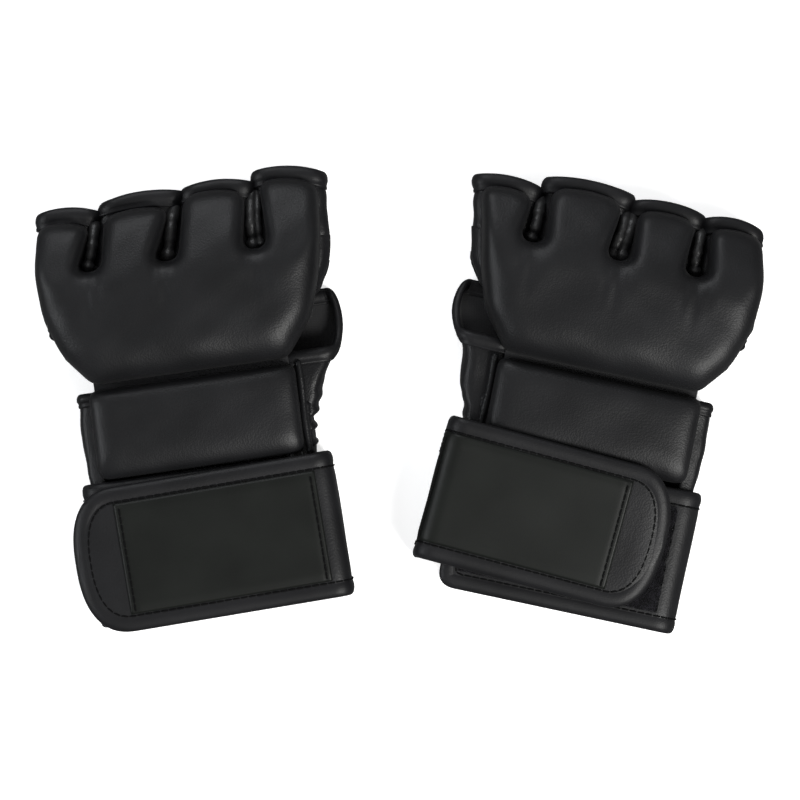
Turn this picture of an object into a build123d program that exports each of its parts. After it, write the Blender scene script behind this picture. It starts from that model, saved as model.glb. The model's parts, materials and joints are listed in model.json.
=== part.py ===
from build123d import *

import os
from dataclasses import dataclass
from math import radians, sin, tan

# A pair of open-palm grappling gloves, lying palm down, fingers towards +Y and backs up.
#
# Each glove is drawn once in its own frame: thumb towards +X, fingers towards +Y, palm on z = 0.
# The right glove is the mirror image. The two differ in how far the strap is pulled, how it lies
# over the wrist, and how the finger webs lean. Sizes are in millimetres.

# Thicknesses of the materials.
SKIN = 1.2  # synthetic leather over a foam pad
WALL = 1.5  # synthetic leather with its lining, in sleeves and palm panels
LINER = 0.8  # lining cloth under the pads
BAND = 3.4  # padded wrist band and strap
TAPE = 0.6  # one layer of folded edge tape
TAPE_WIDTH = 7.4  # how far edge tape reaches in from an edge
TAPE_TURN = 1.0  # the edge tape folds round an edge this much inside its own outer face
PATCH = 1.2  # moulded rubber patch on the strap
PILE = 1.0  # loop cloth on the wrist band
HOOK = 0.6  # hook cloth under the strap

# Clearances.
BODY_GAP = 0.3  # between pieces that move against each other
HINGE_GAP = 0.4  # each side of a hinge line
SEAM_GAP = 0.2  # between cloth or rubber and the edge tape beside it

# Heights, from the floor up.
CAVITY_TOP = 17.4  # roof of the space for the hand
PAD_BOTTOM = CAVITY_TOP + LINER
BACK_PAD_TOP = 27.5
KNUCKLE_PAD_TOP = 39.5
FINGER_PAD_TOP = 37.0
MOUTH_HEIGHT = CAVITY_TOP + 2.6  # top of a finger sleeve, at its mouth

# The knuckle pad, widest at the knuckles.
GROOVE_Y = 12.5  # lower edge of the knuckle pad
WEB_Y = 61.0  # where the fingers part, and the line on which they bend
KNUCKLE_ROUND = 9.0
LITTLE_EDGE = [(-43.0, GROOVE_Y), (-53.0, 24.0), (-59.0, 40.0), (-60.5, WEB_Y)]
INDEX_EDGE = [(58.0, WEB_Y), (55.0, 44.0), (50.0, 28.0), (38.0, GROOVE_Y)]
LITTLE_TOP_X = -56.5  # outer edge of the little finger at SLEEVE_REF_Y
INDEX_TOP_X = 60.5  # outer edge of the index finger's pad at SLEEVE_REF_Y
SLEEVE_REF_Y = 80.0
INDEX_STRIP = 3.4  # leather side strip outside the index finger's pad
WEB_GAP_LOW = 8.0  # gap between finger pads at the web
WEB_GAP_HIGH = 3.2  # gap between finger mouths at SLEEVE_REF_Y
FINGER_ROUND = 6.0
MOUTH_BEYOND_PAD = 6.4  # how far a sleeve's mouth reaches past its pad
CURL_RANGE = 30.0  # degrees that a finger bends down

# The back-of-hand pad.
BACK_PAD_X = (-46.0, 39.5)
BACK_PAD_Y = (-25.6, 9.5)
BACK_PAD_CORNER = 4.0
BACK_PAD_ROUND = 5.0

# Palm panels.
HEEL_X = (-50.0, 46.0)
HEEL_FRONT_Y = 8.0
BAR_REAR_Y = 33.0
BAR_THUMB_CUT = [(22.0, BAR_REAR_Y), (46.0, 49.0)]
EDGE_TAPE = 5.0  # tape on the palm edges
FLANGE = 3.0  # how far the heel's walls are sewn in under the back pad
WRIST_Y = -27.8  # line on which the wrist bends
WRIST_Z = 18.0
WRIST_FLEX = 15.0

# The thumb sleeve.
THUMB_PIVOT = (38.0, -15.0)
THUMB_CLEAR = 20.0  # radius round the pivot that stays with the palm
THUMB_ROOT = (40.0, 4.8)
THUMB_ANGLE = 25.6  # degrees from +Y towards +X
THUMB_WIDTH = 22.0
THUMB_HEIGHT = CAVITY_TOP - 2 * TAPE - 2 * BODY_GAP  # it swings under the lining
THUMB_ROUND = 6.0
THUMB_MOUTH = (28.0, 44.0)  # reach of the mouth at the back and at the palm
THUMB_TAPE = 6.5
THUMB_SWEEP = (18.0, 122.0)  # degrees round the pivot kept free for the sleeve

# The wrist band: a C-shaped wrap, open towards the thumb.
BAND_Y = (-87.5, -28.2)
BAND_LOW = 3 * TAPE + BAND + BODY_GAP  # underside on the palm side, over the lapped strap
BAND_HIGH = 23.2  # top of the band on the back
BAND_FOLD_X = -45.0
BAND_PALM_END_X = 42.0
BAND_CORNER = 6.0
LOOP_X = (-45.0, 38.0)

# The strap, which leaves the palm side, folds round the thumb side and closes on the back.
STRAP_WIDTH = 60.0
STRAP_TOP = BAND_HIGH + PILE + HOOK + BODY_GAP + BAND  # top of the padded strap, without its tape
STRAP_LAP = 30.0  # how far the strap is sewn under the palm side of the band
STRAP_TIP = 22.0  # depth of the rounded tip
STRAP_TIP_ROUND = 15.0
FOLD_ROUND = 7.0  # outer radius of the fold at the top
FOLD_ROUND_LOW = 6.0
PATCH_HALF = 22.6
PATCH_FROM_TIP = 19.5
PATCH_FROM_HINGE = 2.2
HOOK_FROM_TIP = (13.0, 63.0)
HOOK_HALF = 20.0
PEEL_AXIS_ABOVE = 0.4  # the peel axis lies this far above the tape

FINGERS = ("little", "ring", "middle", "index")
FAR = 200.0  # longer than anything here, for cutting blocks


@dataclass
class Glove:
    """What differs between the two gloves."""

    name: str
    mirrored: bool
    centre: tuple
    yaw: float
    web_low_x: tuple  # finger webs at WEB_Y, from the little finger to the index
    web_high_x: tuple  # the same webs at SLEEVE_REF_Y
    mouth_y: tuple  # finger mouths, from the little finger to the index
    hinge_x: float  # where the strap leaves its fold
    strap_y: float  # middle of the strap at the hinge
    strap_yaw: float
    strap_tilt: float  # degrees that the strap's finger side is raised
    strap_length: float  # from the hinge to the tip
    strap_shift: float  # how far the strap has slid towards the fingers from where it is sewn on
    band_short: float  # how far short of the strap's fold the band's free end stops


LEFT = Glove(
    name="left",
    mirrored=False,
    centre=(-82.0, 0.0),
    yaw=8.0,
    web_low_x=(-38.5, -6.0, 31.0),
    web_high_x=(-31.5, 1.8, 33.0),
    mouth_y=(85.5, 88.0, 88.5, 90.0),
    hinge_x=44.0,
    strap_y=-58.0,
    strap_yaw=1.5,
    strap_tilt=0.0,
    strap_length=104.0,
    strap_shift=0.0,
    band_short=0.3,
)
RIGHT = Glove(
    name="right",
    mirrored=True,
    centre=(78.0, 0.0),
    yaw=-12.0,
    web_low_x=(-31.5, 1.0, 37.0),
    web_high_x=(-31.0, -0.4, 36.5),
    mouth_y=(85.0, 86.0, 88.0, 83.0),
    hinge_x=49.5,
    strap_y=-48.0,
    strap_yaw=3.0,
    strap_tilt=4.2,
    strap_length=92.0,
    strap_shift=10.5,
    band_short=4.3,
)


def outline(points, corner=0.0):
    """A closed face through the points, with every corner rounded."""
    face = make_face(Polyline(*points, close=True))
    return fillet(face.vertices(), corner) if corner else face


def prism(face, low, high):
    """The face of the XY plane, raised from low to high."""
    return extrude(Pos(0, 0, low) * face, amount=high - low)


def block(x, y, z):
    """A box between pairs of limits."""
    size = (x[1] - x[0], y[1] - y[0], z[1] - z[0])
    return Pos(x[0], y[0], z[0]) * Box(*size, align=(Align.MIN,) * 3)


def side_prism(points, low, high):
    """A face drawn in (y, z), drawn out along X from low to high."""
    face = make_face(Polyline(*[(0, y, z) for y, z in points], close=True))
    return Pos(low, 0, 0) * extrude(face, amount=high - low, dir=(1, 0, 0))


def section_prism(face, low, high):
    """A face drawn in the XZ plane, drawn out along Y from low to high."""
    return extrude(Pos(0, low, 0) * face, amount=high - low, dir=(0, 1, 0))


def xz_box(x, z, corner=0.0):
    """A rectangle in the XZ plane."""
    corners = [(x[0], 0, z[0]), (x[1], 0, z[0]), (x[1], 0, z[1]), (x[0], 0, z[1])]
    face = make_face(Polyline(*corners, close=True))
    return fillet(face.vertices(), corner) if corner else face


def xz_disc(x, z, radius):
    """A disc in the XZ plane."""
    return Pos(x, 0, z) * Rot(90, 0, 0) * Circle(radius)


def rounded_pad(face, low, high, round_top):
    """A pad with a flat base and a rounded upper edge."""
    solid = prism(face, low, high)
    return fillet(solid.faces().sort_by(Axis.Z)[-1].edges(), round_top)


# The hand: pads, lining and palm panels.


def knuckle_outline(inset=0.0):
    """The knuckle pad's outline, carried past the web line so that it can be cut there."""
    past = 20.0
    points = [*LITTLE_EDGE, (LITTLE_EDGE[-1][0], WEB_Y + past), (INDEX_EDGE[0][0], WEB_Y + past), *INDEX_EDGE]
    face = outline(points, 5.0)
    return offset(face, amount=-inset, kind=Kind.INTERSECTION) if inset else face


def back_outline(inset=0.0):
    """The back-of-hand pad's outline."""
    (x0, x1), (y0, y1) = BACK_PAD_X, BACK_PAD_Y
    left, right, rear, front = x0 + inset, x1 - inset, y0 + inset, y1 - inset
    points = [(left, rear), (right, rear), (right, front), (left, front)]
    return outline(points, BACK_PAD_CORNER - inset)


def behind_web(solid):
    """The part of a solid on the palm side of the line on which the fingers bend."""
    return solid & block((-FAR, FAR), (-FAR, WEB_Y - HINGE_GAP), (0, FAR))


def knuckle_pad():
    """The moulded foam over the knuckles, and the skin over it."""
    foam = rounded_pad(knuckle_outline(SKIN), PAD_BOTTOM, KNUCKLE_PAD_TOP - SKIN, KNUCKLE_ROUND - SKIN)
    outer = rounded_pad(knuckle_outline(), PAD_BOTTOM, KNUCKLE_PAD_TOP, KNUCKLE_ROUND)
    return behind_web(foam), behind_web(outer) - behind_web(foam)


def back_pad():
    """The foam over the back of the hand, and the skin over it."""
    foam = rounded_pad(back_outline(SKIN), PAD_BOTTOM, BACK_PAD_TOP - SKIN, BACK_PAD_ROUND - SKIN)
    outer = rounded_pad(back_outline(), PAD_BOTTOM, BACK_PAD_TOP, BACK_PAD_ROUND)
    return foam, outer - foam


def liner():
    """Lining cloth under both pads, which carries them and bridges the groove."""
    bridge_x, bridge_y = (LITTLE_EDGE[0][0], INDEX_EDGE[-1][0]), (BACK_PAD_Y[1] - 3, GROOVE_Y + 3)
    bridge = block(bridge_x, bridge_y, (CAVITY_TOP, PAD_BOTTOM))
    knuckles = behind_web(prism(knuckle_outline(), CAVITY_TOP, PAD_BOTTOM))
    return knuckles + prism(back_outline(), CAVITY_TOP, PAD_BOTTOM) + bridge


def palm_bar():
    """The palm panel across the roots of the fingers, with its two side walls."""
    front = WEB_Y - HINGE_GAP
    little_low, little_high = LITTLE_EDGE[2][0] + 4.0, LITTLE_EDGE[3][0] + 1.0
    index_high = INDEX_EDGE[0][0] + INDEX_STRIP - 1.0
    index_low = INDEX_EDGE[1][0] + INDEX_STRIP - 1.0
    rim = [
        (little_low, BAR_REAR_Y),
        (little_high, WEB_Y - 12),
        (little_high, front),
        (index_high, front),
        (index_low, BAR_THUMB_CUT[1][1] + 2),
        *reversed(BAR_THUMB_CUT),
    ]
    hollow = [
        (little_low + WALL, BAR_REAR_Y - 1),
        (little_high + WALL, WEB_Y - 12),
        (little_high + WALL, front + 1),
        (index_high - WALL, front + 1),
        (index_low - WALL, BAR_THUMB_CUT[1][1] + 2),
        (index_low - WALL, BAR_REAR_Y - 1),
    ]
    panel = prism(outline(rim), TAPE, CAVITY_TOP)
    return panel - prism(outline(hollow), TAPE + WALL, FAR)


def palm_heel():
    """The palm panel over the heel of the hand: its walls turn in under the lining, clear of the thumb."""
    x0, x1 = HEEL_X
    rear = WRIST_Y + HINGE_GAP
    rim = outline([(x0 + 1.5, rear), (x1 - 1, rear), (x1, -5), (x1, HEEL_FRONT_Y), (x0, HEEL_FRONT_Y)])
    rear_inside = [(x0 + 1.5 + WALL, rear - 1), (x1 - 1 - WALL, rear - 1)]
    inside = [*rear_inside, (x1 - WALL, -5), (x1 - WALL, FAR), (x0 + WALL, FAR)]
    panel = prism(rim, TAPE, CAVITY_TOP) - prism(outline(inside), TAPE + WALL, CAVITY_TOP - WALL)
    window_x = (BACK_PAD_X[0] + FLANGE, BACK_PAD_X[1] - FLANGE)
    window = block(window_x, (-FAR, FAR), (CAVITY_TOP - 2 * WALL, FAR))
    return panel - window - thumb_sweep() - wrist_wedge()


def thumb_sweep():
    """The space round the thumb's pivot that its sleeve passes through."""
    low, high = THUMB_SWEEP
    angles = (low, (low + high) / 2, high)
    rays = [PolarLocations(FAR, 1, start_angle=a).locations[0].position for a in angles]
    sector = make_face(Polyline((0, 0), *[(p.X, p.Y) for p in rays], close=True))
    swept = prism(sector, -1, FAR) - Cylinder(THUMB_CLEAR, 2 * FAR)
    return Pos(*THUMB_PIVOT, 0) * swept


def wrist_wedge():
    """The space under the wrist line that closes when the wrist bends towards the palm."""
    reach = (WRIST_Z + 1) * tan(radians(WRIST_FLEX)) + HINGE_GAP
    behind = WRIST_Y - FAR
    points = [(WRIST_Y, WRIST_Z), (WRIST_Y + reach, -1), (behind, -1), (behind, WRIST_Z)]
    return side_prism(points, -FAR, FAR)


def palm_tape(panel, edge_y, towards):
    """Tape folded round the straight edge of a palm panel that faces +Y (1) or -Y (-1)."""
    inner, outer = edge_y - towards * EDGE_TAPE, edge_y + towards * TAPE
    span = (min(inner, outer), max(inner, outer))
    heel_span = (HEEL_X[0] + WALL + 1, THUMB_PIVOT[0] - 26)
    bar_span = (LITTLE_EDGE[2][0] + 7, BAR_THUMB_CUT[0][0])
    return block(heel_span if towards > 0 else bar_span, span, (0, 2 * TAPE + WALL)) - panel


# The fingers.


def edge_x(low_x, high_x, y):
    """Where an edge drawn between the web line and SLEEVE_REF_Y stands at y."""
    return low_x + (high_x - low_x) * (y - WEB_Y) / (SLEEVE_REF_Y - WEB_Y)


def finger_edges(glove, number):
    """((left low, left high), (right low, right high)) of a finger, at the web line and SLEEVE_REF_Y."""
    low = (LITTLE_EDGE[-1][0] - WEB_GAP_LOW / 2, *glove.web_low_x, INDEX_EDGE[0][0] + WEB_GAP_LOW / 2)
    high = (LITTLE_TOP_X - WEB_GAP_HIGH / 2, *glove.web_high_x, INDEX_TOP_X + WEB_GAP_HIGH / 2)
    left = (low[number] + WEB_GAP_LOW / 2, high[number] + WEB_GAP_HIGH / 2)
    right = (low[number + 1] - WEB_GAP_LOW / 2, high[number + 1] - WEB_GAP_HIGH / 2)
    return left, right


def finger_face(glove, number, start, end, inset=0.0, strip=0.0, corner=0.0):
    """A finger's outline from start to end, narrower by inset, and wider by strip at the index side."""
    left, right = finger_edges(glove, number)
    extra = strip if number == len(FINGERS) - 1 else 0.0
    points = [
        (edge_x(*left, start) + inset, start),
        (edge_x(*right, start) - inset + extra, start),
        (edge_x(*right, end) - inset + extra, end),
        (edge_x(*left, end) + inset, end),
    ]
    face = outline(points)
    return fillet(face.vertices().group_by(Axis.Y)[-1], corner) if corner else face


def finger(glove, number):
    """One finger's pad, sleeve and mouth tape, parted from the hand on the line on which it bends."""
    start, mouth = WEB_Y + HINGE_GAP, glove.mouth_y[number]
    pad_end = mouth - MOUTH_BEYOND_PAD
    foam = rounded_pad(
        finger_face(glove, number, start - 10, pad_end - SKIN, SKIN, corner=3.0),
        PAD_BOTTOM,
        FINGER_PAD_TOP - SKIN,
        FINGER_ROUND - SKIN,
    )
    cover = rounded_pad(
        finger_face(glove, number, start - 10, pad_end, corner=4.0), PAD_BOTTOM, FINGER_PAD_TOP, FINGER_ROUND
    )
    tube = prism(
        finger_face(glove, number, start, mouth - TAPE_TURN, 1.0, INDEX_STRIP), TAPE, MOUTH_HEIGHT
    )
    hole = prism(
        finger_face(glove, number, start - 1, mouth + 1, 1.0 + WALL, INDEX_STRIP), TAPE + WALL, CAVITY_TOP
    )
    ahead = block((-FAR, FAR), (start, FAR), (0, FAR))
    flex = (WRIST_Z + 1) * tan(radians(CURL_RANGE)) + HINGE_GAP
    corners = [(start, WRIST_Z), (start + flex, -1), (start - 5, -1), (start - 5, WRIST_Z)]
    crease = side_prism(corners, -FAR, FAR)
    foam = foam & ahead
    sleeve = (cover & ahead) + tube - foam - hole - crease
    rim_face = finger_face(glove, number, pad_end + SEAM_GAP, mouth, 1.0 - TAPE, INDEX_STRIP)
    rim = prism(rim_face, 0, MOUTH_HEIGHT + TAPE)
    throat = prism(
        finger_face(glove, number, start, mouth + 1, 1.0 + WALL + TAPE, INDEX_STRIP),
        2 * TAPE + WALL,
        CAVITY_TOP - TAPE,
    )
    tape = rim - throat - sleeve
    return foam, sleeve, tape


# The thumb.


def thumb_tube(grow):
    """The thumb sleeve's section, drawn out along its own axis, larger by grow all round."""
    half = THUMB_WIDTH / 2 + grow
    low, high = TAPE - grow, TAPE + THUMB_HEIGHT + grow
    face = xz_box((-half, half), (low, high), THUMB_ROUND + grow)
    return section_prism(face, -6, THUMB_MOUTH[1] + 10)


def thumb_ahead(back):
    """The space past the thumb's slanting mouth, moved towards the hand by back."""
    (upper, lower), top = THUMB_MOUTH, TAPE + THUMB_HEIGHT
    slope = (lower - upper) / THUMB_HEIGHT
    high_z, low_z = top + 5, -5
    points = [
        (upper - slope * (high_z - top) - back, high_z),
        (lower + slope * (TAPE - low_z) - back, low_z),
        (FAR, low_z),
        (FAR, high_z),
    ]
    return side_prism(points, -FAR, FAR)


def thumb():
    """The thumb sleeve and the tape round its slanting mouth."""
    place = Pos(*THUMB_ROOT, 0) * Rot(0, 0, -THUMB_ANGLE)
    root = Pos(*THUMB_PIVOT, 0) * Cylinder(THUMB_CLEAR + HINGE_GAP, 2 * FAR)
    sleeve = thumb_tube(0) - thumb_tube(-WALL) - thumb_ahead(TAPE_TURN)
    rim = (thumb_tube(TAPE) - thumb_tube(-WALL - TAPE) - thumb_ahead(0)) & thumb_ahead(THUMB_TAPE)
    return place * sleeve - root, place * (rim - sleeve) - root


# The wrist band and its strap.


def band_end(glove):
    """Where the band's free end stops, short of the strap's fold."""
    wall = glove.hinge_x + FOLD_ROUND - BAND - TAPE
    skew = STRAP_WIDTH / 2 * sin(radians(glove.strap_yaw))
    return wall - skew - TAPE - glove.band_short


def band_section(glove, grow):
    """The C-shaped wrap in the XZ plane, thicker by grow on each face."""
    end = band_end(glove)
    middle = (BAND_LOW + BAND_HIGH) / 2
    half = (BAND_HIGH - BAND_LOW) / 2 + grow
    inner = half - BAND - 2 * grow
    outer_face = xz_box((BAND_FOLD_X, end + grow), (middle - half, middle + half))
    inner_face = xz_box((BAND_FOLD_X, end + 5), (middle - inner, middle + inner))
    palm_end = xz_box((BAND_PALM_END_X + grow, end + 5), (0, middle))
    ring = outer_face + xz_disc(BAND_FOLD_X, middle, half) - inner_face - xz_disc(BAND_FOLD_X, middle, inner)
    return ring - palm_end


def band_corners(glove, inset):
    """A block that rounds the band's free corners."""
    (y0, y1), x1 = BAND_Y, band_end(glove) + TAPE
    right, rear, front = x1 - inset, y0 + inset, y1 - inset
    face = outline([(-FAR, rear), (right, rear), (right, front), (-FAR, front)])
    corners = face.vertices().group_by(Axis.X)[-1]
    return prism(fillet(corners, BAND_CORNER), -1, FAR)


def wrist_band(glove):
    """The padded band, the tape on its two long edges and the loop cloth on its back."""
    (y0, y1) = BAND_Y
    panel = section_prism(band_section(glove, 0), y0, y1) & band_corners(glove, TAPE_TURN)
    thick = section_prism(band_section(glove, TAPE), y0, y1) & band_corners(glove, 0)
    middle = block((-FAR, FAR), (y0 + TAPE_WIDTH, y1 - TAPE_WIDTH), (-1, FAR))
    tape = thick - middle - panel
    inset = TAPE_WIDTH + SEAM_GAP
    loops = block(LOOP_X, (y0 + inset, y1 - inset), (BAND_HIGH, BAND_HIGH + PILE))
    return panel, tape, loops


def strap_place(glove):
    """The strap's frame: x = 0 on the peel line, the tip towards -X, z = 0 on the floor."""
    return Pos(glove.hinge_x, glove.strap_y, 0) * Rot(0, 0, glove.strap_yaw)


def strap_raise(glove):
    """Tilts the strap about its lower edge so that it clears the back-of-hand pad."""
    low_edge = Pos(0, -STRAP_WIDTH / 2, STRAP_TOP)
    return low_edge * Rot(glove.strap_tilt, 0, 0) * Pos(0, STRAP_WIDTH / 2, -STRAP_TOP)


def strap_outline(glove, inset):
    """The strap's outline, carried past the peel line so that it can be cut there."""
    half, straight = STRAP_WIDTH / 2, STRAP_TIP - glove.strap_length
    sides = Polyline((straight, -half), (30, -half), (30, half), (straight, half))
    tip = ThreePointArc((straight, half), (-glove.strap_length, 0), (straight, -half))
    face = make_face(Wire([*sides.edges(), tip.edge()]))
    corners = [v for v in face.vertices() if abs(v.X - straight) < 0.01]
    face = fillet(corners, STRAP_TIP_ROUND)
    return offset(face, amount=-inset, kind=Kind.INTERSECTION) if inset else face


def strap(glove):
    """The strap from the peel line to its tip: panel, edge tape, hook cloth and rubber patch."""
    low, top, length = STRAP_TOP - BAND, STRAP_TOP, glove.strap_length
    free = block((-FAR, -BODY_GAP), (-FAR, FAR), (0, FAR))
    panel = prism(strap_outline(glove, TAPE_TURN), low, top) & free
    ring = strap_outline(glove, 0) - strap_outline(glove, TAPE_WIDTH)
    tape = (prism(ring, low - TAPE, top + TAPE) & free) - panel
    open_end = block((-TAPE_WIDTH, 0), (TAPE_WIDTH - STRAP_WIDTH / 2, STRAP_WIDTH / 2 - TAPE_WIDTH), (0, FAR))
    inside = prism(strap_outline(glove, TAPE_WIDTH + SEAM_GAP), 0, FAR)
    hook_x = (HOOK_FROM_TIP[0] - length, HOOK_FROM_TIP[1] - length)
    hooks = block(hook_x, (-HOOK_HALF, HOOK_HALF), (low - HOOK, low)) & inside
    patch_x = (PATCH_FROM_TIP - length, -PATCH_FROM_HINGE)
    patch = block(patch_x, (-PATCH_HALF, PATCH_HALF), (top, top + PATCH)) & inside
    place = strap_place(glove) * strap_raise(glove)
    return [place * solid for solid in (panel, tape - open_end, hooks, patch)]


def fold_section(grow, rise):
    """The strap's fold round the thumb side, in the XZ plane, as it is where it stands rise higher."""
    low, high = TAPE - grow, STRAP_TOP + rise + grow
    outer = xz_box((-STRAP_LAP, FOLD_ROUND + grow), (low, high))
    right = outer.vertices().group_by(Axis.X)[-1].sort_by(Axis.Z)
    outer = fillet(right[0], FOLD_ROUND_LOW + grow)
    right = outer.vertices().sort_by(lambda v: v.X + v.Z)
    outer = fillet(right[-1], FOLD_ROUND + grow)
    thick = BAND + 2 * grow
    inner = xz_box((-STRAP_LAP - 1, FOLD_ROUND + grow - thick), (low + thick, high - thick))
    right = inner.vertices().group_by(Axis.X)[-1]
    inner = fillet(right, FOLD_ROUND_LOW - BAND - grow)
    above = xz_box((-STRAP_LAP - 1, 0), (low + thick, FAR))
    return outer - inner - above


def slanted_band(glove, inset):
    """The space between the fold's two long edges, which slant up the thumb side, drawn in by inset."""
    half, shift = STRAP_WIDTH / 2 - inset, glove.strap_shift
    start, end = TAPE + BAND + FOLD_ROUND_LOW, STRAP_TOP - BAND
    front = [(half - shift, -1), (half - shift, start), (half, end), (half, FAR)]
    rear = [(-half, FAR), (-half, end), (-half - shift, start), (-half - shift, -1)]
    return side_prism(front + rear, -FAR, FAR)


def strap_fold(glove):
    """The sewn end of the strap: it laps under the band and folds up round the thumb side."""
    reach = STRAP_WIDTH / 2 + glove.strap_shift
    slope = tan(radians(glove.strap_tilt))

    def drawn(grow):
        rear = Pos(0, -reach, 0) * fold_section(grow, slope * (STRAP_WIDTH / 2 - reach))
        front = Pos(0, reach, 0) * fold_section(grow, slope * (STRAP_WIDTH / 2 + reach))
        return loft([rear, front], ruled=True)

    fold = drawn(0) & slanted_band(glove, TAPE_TURN)
    edges = slanted_band(glove, 0) - slanted_band(glove, TAPE_WIDTH)
    tape = (drawn(TAPE) & edges) - fold
    place = strap_place(glove)
    return place * fold, place * tape


# Putting the pair together.


def glove_nodes(glove):
    """Every piece of one glove, in the glove's own frame."""
    knuckle_foam, knuckle_skin = knuckle_pad()
    back_foam, back_skin = back_pad()
    bar, heel = palm_bar(), palm_heel()
    thumb_sleeve, thumb_tape = thumb()
    band, band_tape, loops = wrist_band(glove)
    panel, tape, hooks, patch = strap(glove)
    fold, fold_tape = strap_fold(glove)
    nodes = {
        "knuckle_foam": [knuckle_foam],
        "knuckle_skin": [knuckle_skin],
        "back_foam": [back_foam],
        "back_skin": [back_skin],
        "liner": [liner()],
        "palm_bar": [bar],
        "palm_heel": [heel],
        "palm_tape": [palm_tape(heel, HEEL_FRONT_Y, 1), palm_tape(bar, BAR_REAR_Y, -1)],
        "thumb_sleeve": [thumb_sleeve],
        "thumb_tape": [thumb_tape],
        "wrist_band": [band],
        "wrist_tape": [band_tape, fold_tape],
        "loop_field": [loops],
        "strap_fold": [fold],
        "strap_panel": [panel],
        "strap_tape": [tape],
        "hook_field": [hooks],
        "strap_patch": [patch],
    }
    for number, name in enumerate(FINGERS):
        foam, sleeve, mouth_tape = finger(glove, number)
        nodes[f"{name}_foam"] = [foam]
        nodes[f"{name}_sleeve"] = [sleeve]
        nodes[f"{name}_tape"] = [mouth_tape]
    return nodes


def placed(glove, shape):
    """A shape of the glove's own frame, where the glove lies."""
    if glove.mirrored:
        shape = mirror(shape, about=Plane.YZ)
    return Pos(*glove.centre, 0) * Rot(0, 0, glove.yaw) * shape


def pair_nodes():
    """Every piece of both gloves by name, with the origin on the floor under the middle of the pair."""
    nodes = {}
    for glove in (LEFT, RIGHT):
        for name, shapes in glove_nodes(glove).items():
            solids = [solid for shape in shapes for solid in shape.solids()]
            nodes[f"{glove.name}_{name}"] = [placed(glove, solid) for solid in solids]
    box = Compound([solid for solids in nodes.values() for solid in solids]).bounding_box()
    middle = box.center()
    centred = Pos(-middle.X, -middle.Y, -box.min.Z)
    return {name: [centred * solid for solid in solids] for name, solids in nodes.items()}, centred


def main():
    os.makedirs("parts", exist_ok=True)
    nodes, _ = pair_nodes()
    for name, solids in nodes.items():
        export_step(Compound(solids), f"parts/{name}.step")


if __name__ == "__main__":
    main()
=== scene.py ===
# %% [markdown]
# # A pair of grappling gloves
# The imported CAD model is the frame: it gives the sizes, the moving bodies and the joints. Everything
# that shows is modelled here around it, one cell at a time. The pieces that cross no joint ride on
# those bodies; the others are only put in place.

# %% Load the frame
import json
import math

import bpy
import numpy as np
from mathutils import Matrix, Vector


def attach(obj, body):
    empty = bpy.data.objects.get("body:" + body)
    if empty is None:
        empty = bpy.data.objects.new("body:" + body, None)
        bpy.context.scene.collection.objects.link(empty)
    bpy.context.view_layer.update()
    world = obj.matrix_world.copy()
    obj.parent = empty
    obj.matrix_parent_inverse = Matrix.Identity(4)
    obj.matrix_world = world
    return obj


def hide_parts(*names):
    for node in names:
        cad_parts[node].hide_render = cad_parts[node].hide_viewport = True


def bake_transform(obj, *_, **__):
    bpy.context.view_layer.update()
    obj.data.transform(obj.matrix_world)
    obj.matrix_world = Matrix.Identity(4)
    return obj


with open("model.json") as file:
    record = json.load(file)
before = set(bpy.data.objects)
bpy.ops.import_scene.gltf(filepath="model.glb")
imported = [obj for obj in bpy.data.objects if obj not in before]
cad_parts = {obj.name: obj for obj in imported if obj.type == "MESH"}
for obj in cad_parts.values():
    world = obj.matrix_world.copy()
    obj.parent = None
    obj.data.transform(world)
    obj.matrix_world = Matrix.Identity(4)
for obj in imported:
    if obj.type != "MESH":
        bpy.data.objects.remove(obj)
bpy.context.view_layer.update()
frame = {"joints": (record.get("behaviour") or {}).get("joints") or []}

MM = 0.001
JOINTS = {joint["name"]: joint for joint in frame["joints"]}

# %% [markdown]
# ## Each glove has its own frame
# A glove is easiest to draw straight: thumb towards +X, fingers towards +Y, palm on the floor, in
# millimetres. Its wrist joint says where the real one lies and how it is turned. The right glove is
# the mirror image, so its pieces are drawn the same way and flipped as they are put in place.

# %% The two gloves
WRIST_Y = -27.8  # the wrist crease, in a glove's own frame
WEB_Y = 61.0  # the line on which the fingers bend
SPLIT_Y = 62.0  # where finger pieces are cut from the hand's, just past the webs
BEND_END_Y = 76.0  # past this, a finger's pieces follow the finger alone
FINGERS = ("little", "ring", "middle", "index")


class Glove:
    """One glove's shape, and the matrix that puts its pieces in place."""

    def __init__(self, name, side, **shape):
        self.name, self.side = name, side
        self.__dict__.update(shape)
        wrist = JOINTS[f"{name}_wrist_bend"]
        self.yaw = math.atan2(wrist["axis"][1], wrist["axis"][0])
        turn = Matrix.Rotation(self.yaw, 4, "Z")
        crease = turn @ Vector((0, WRIST_Y * MM, 0))
        origin = Vector(wrist["pos_m"][:2] + [0]) - crease
        self.matrix = Matrix.Translation(origin) @ turn @ Matrix.Diagonal((side, 1, 1, 1))

    def at(self, x, y, z):
        """A point of the glove's frame, in millimetres, where it lies in the scene."""
        return self.matrix @ (Vector((x, y, z)) * MM)


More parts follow.
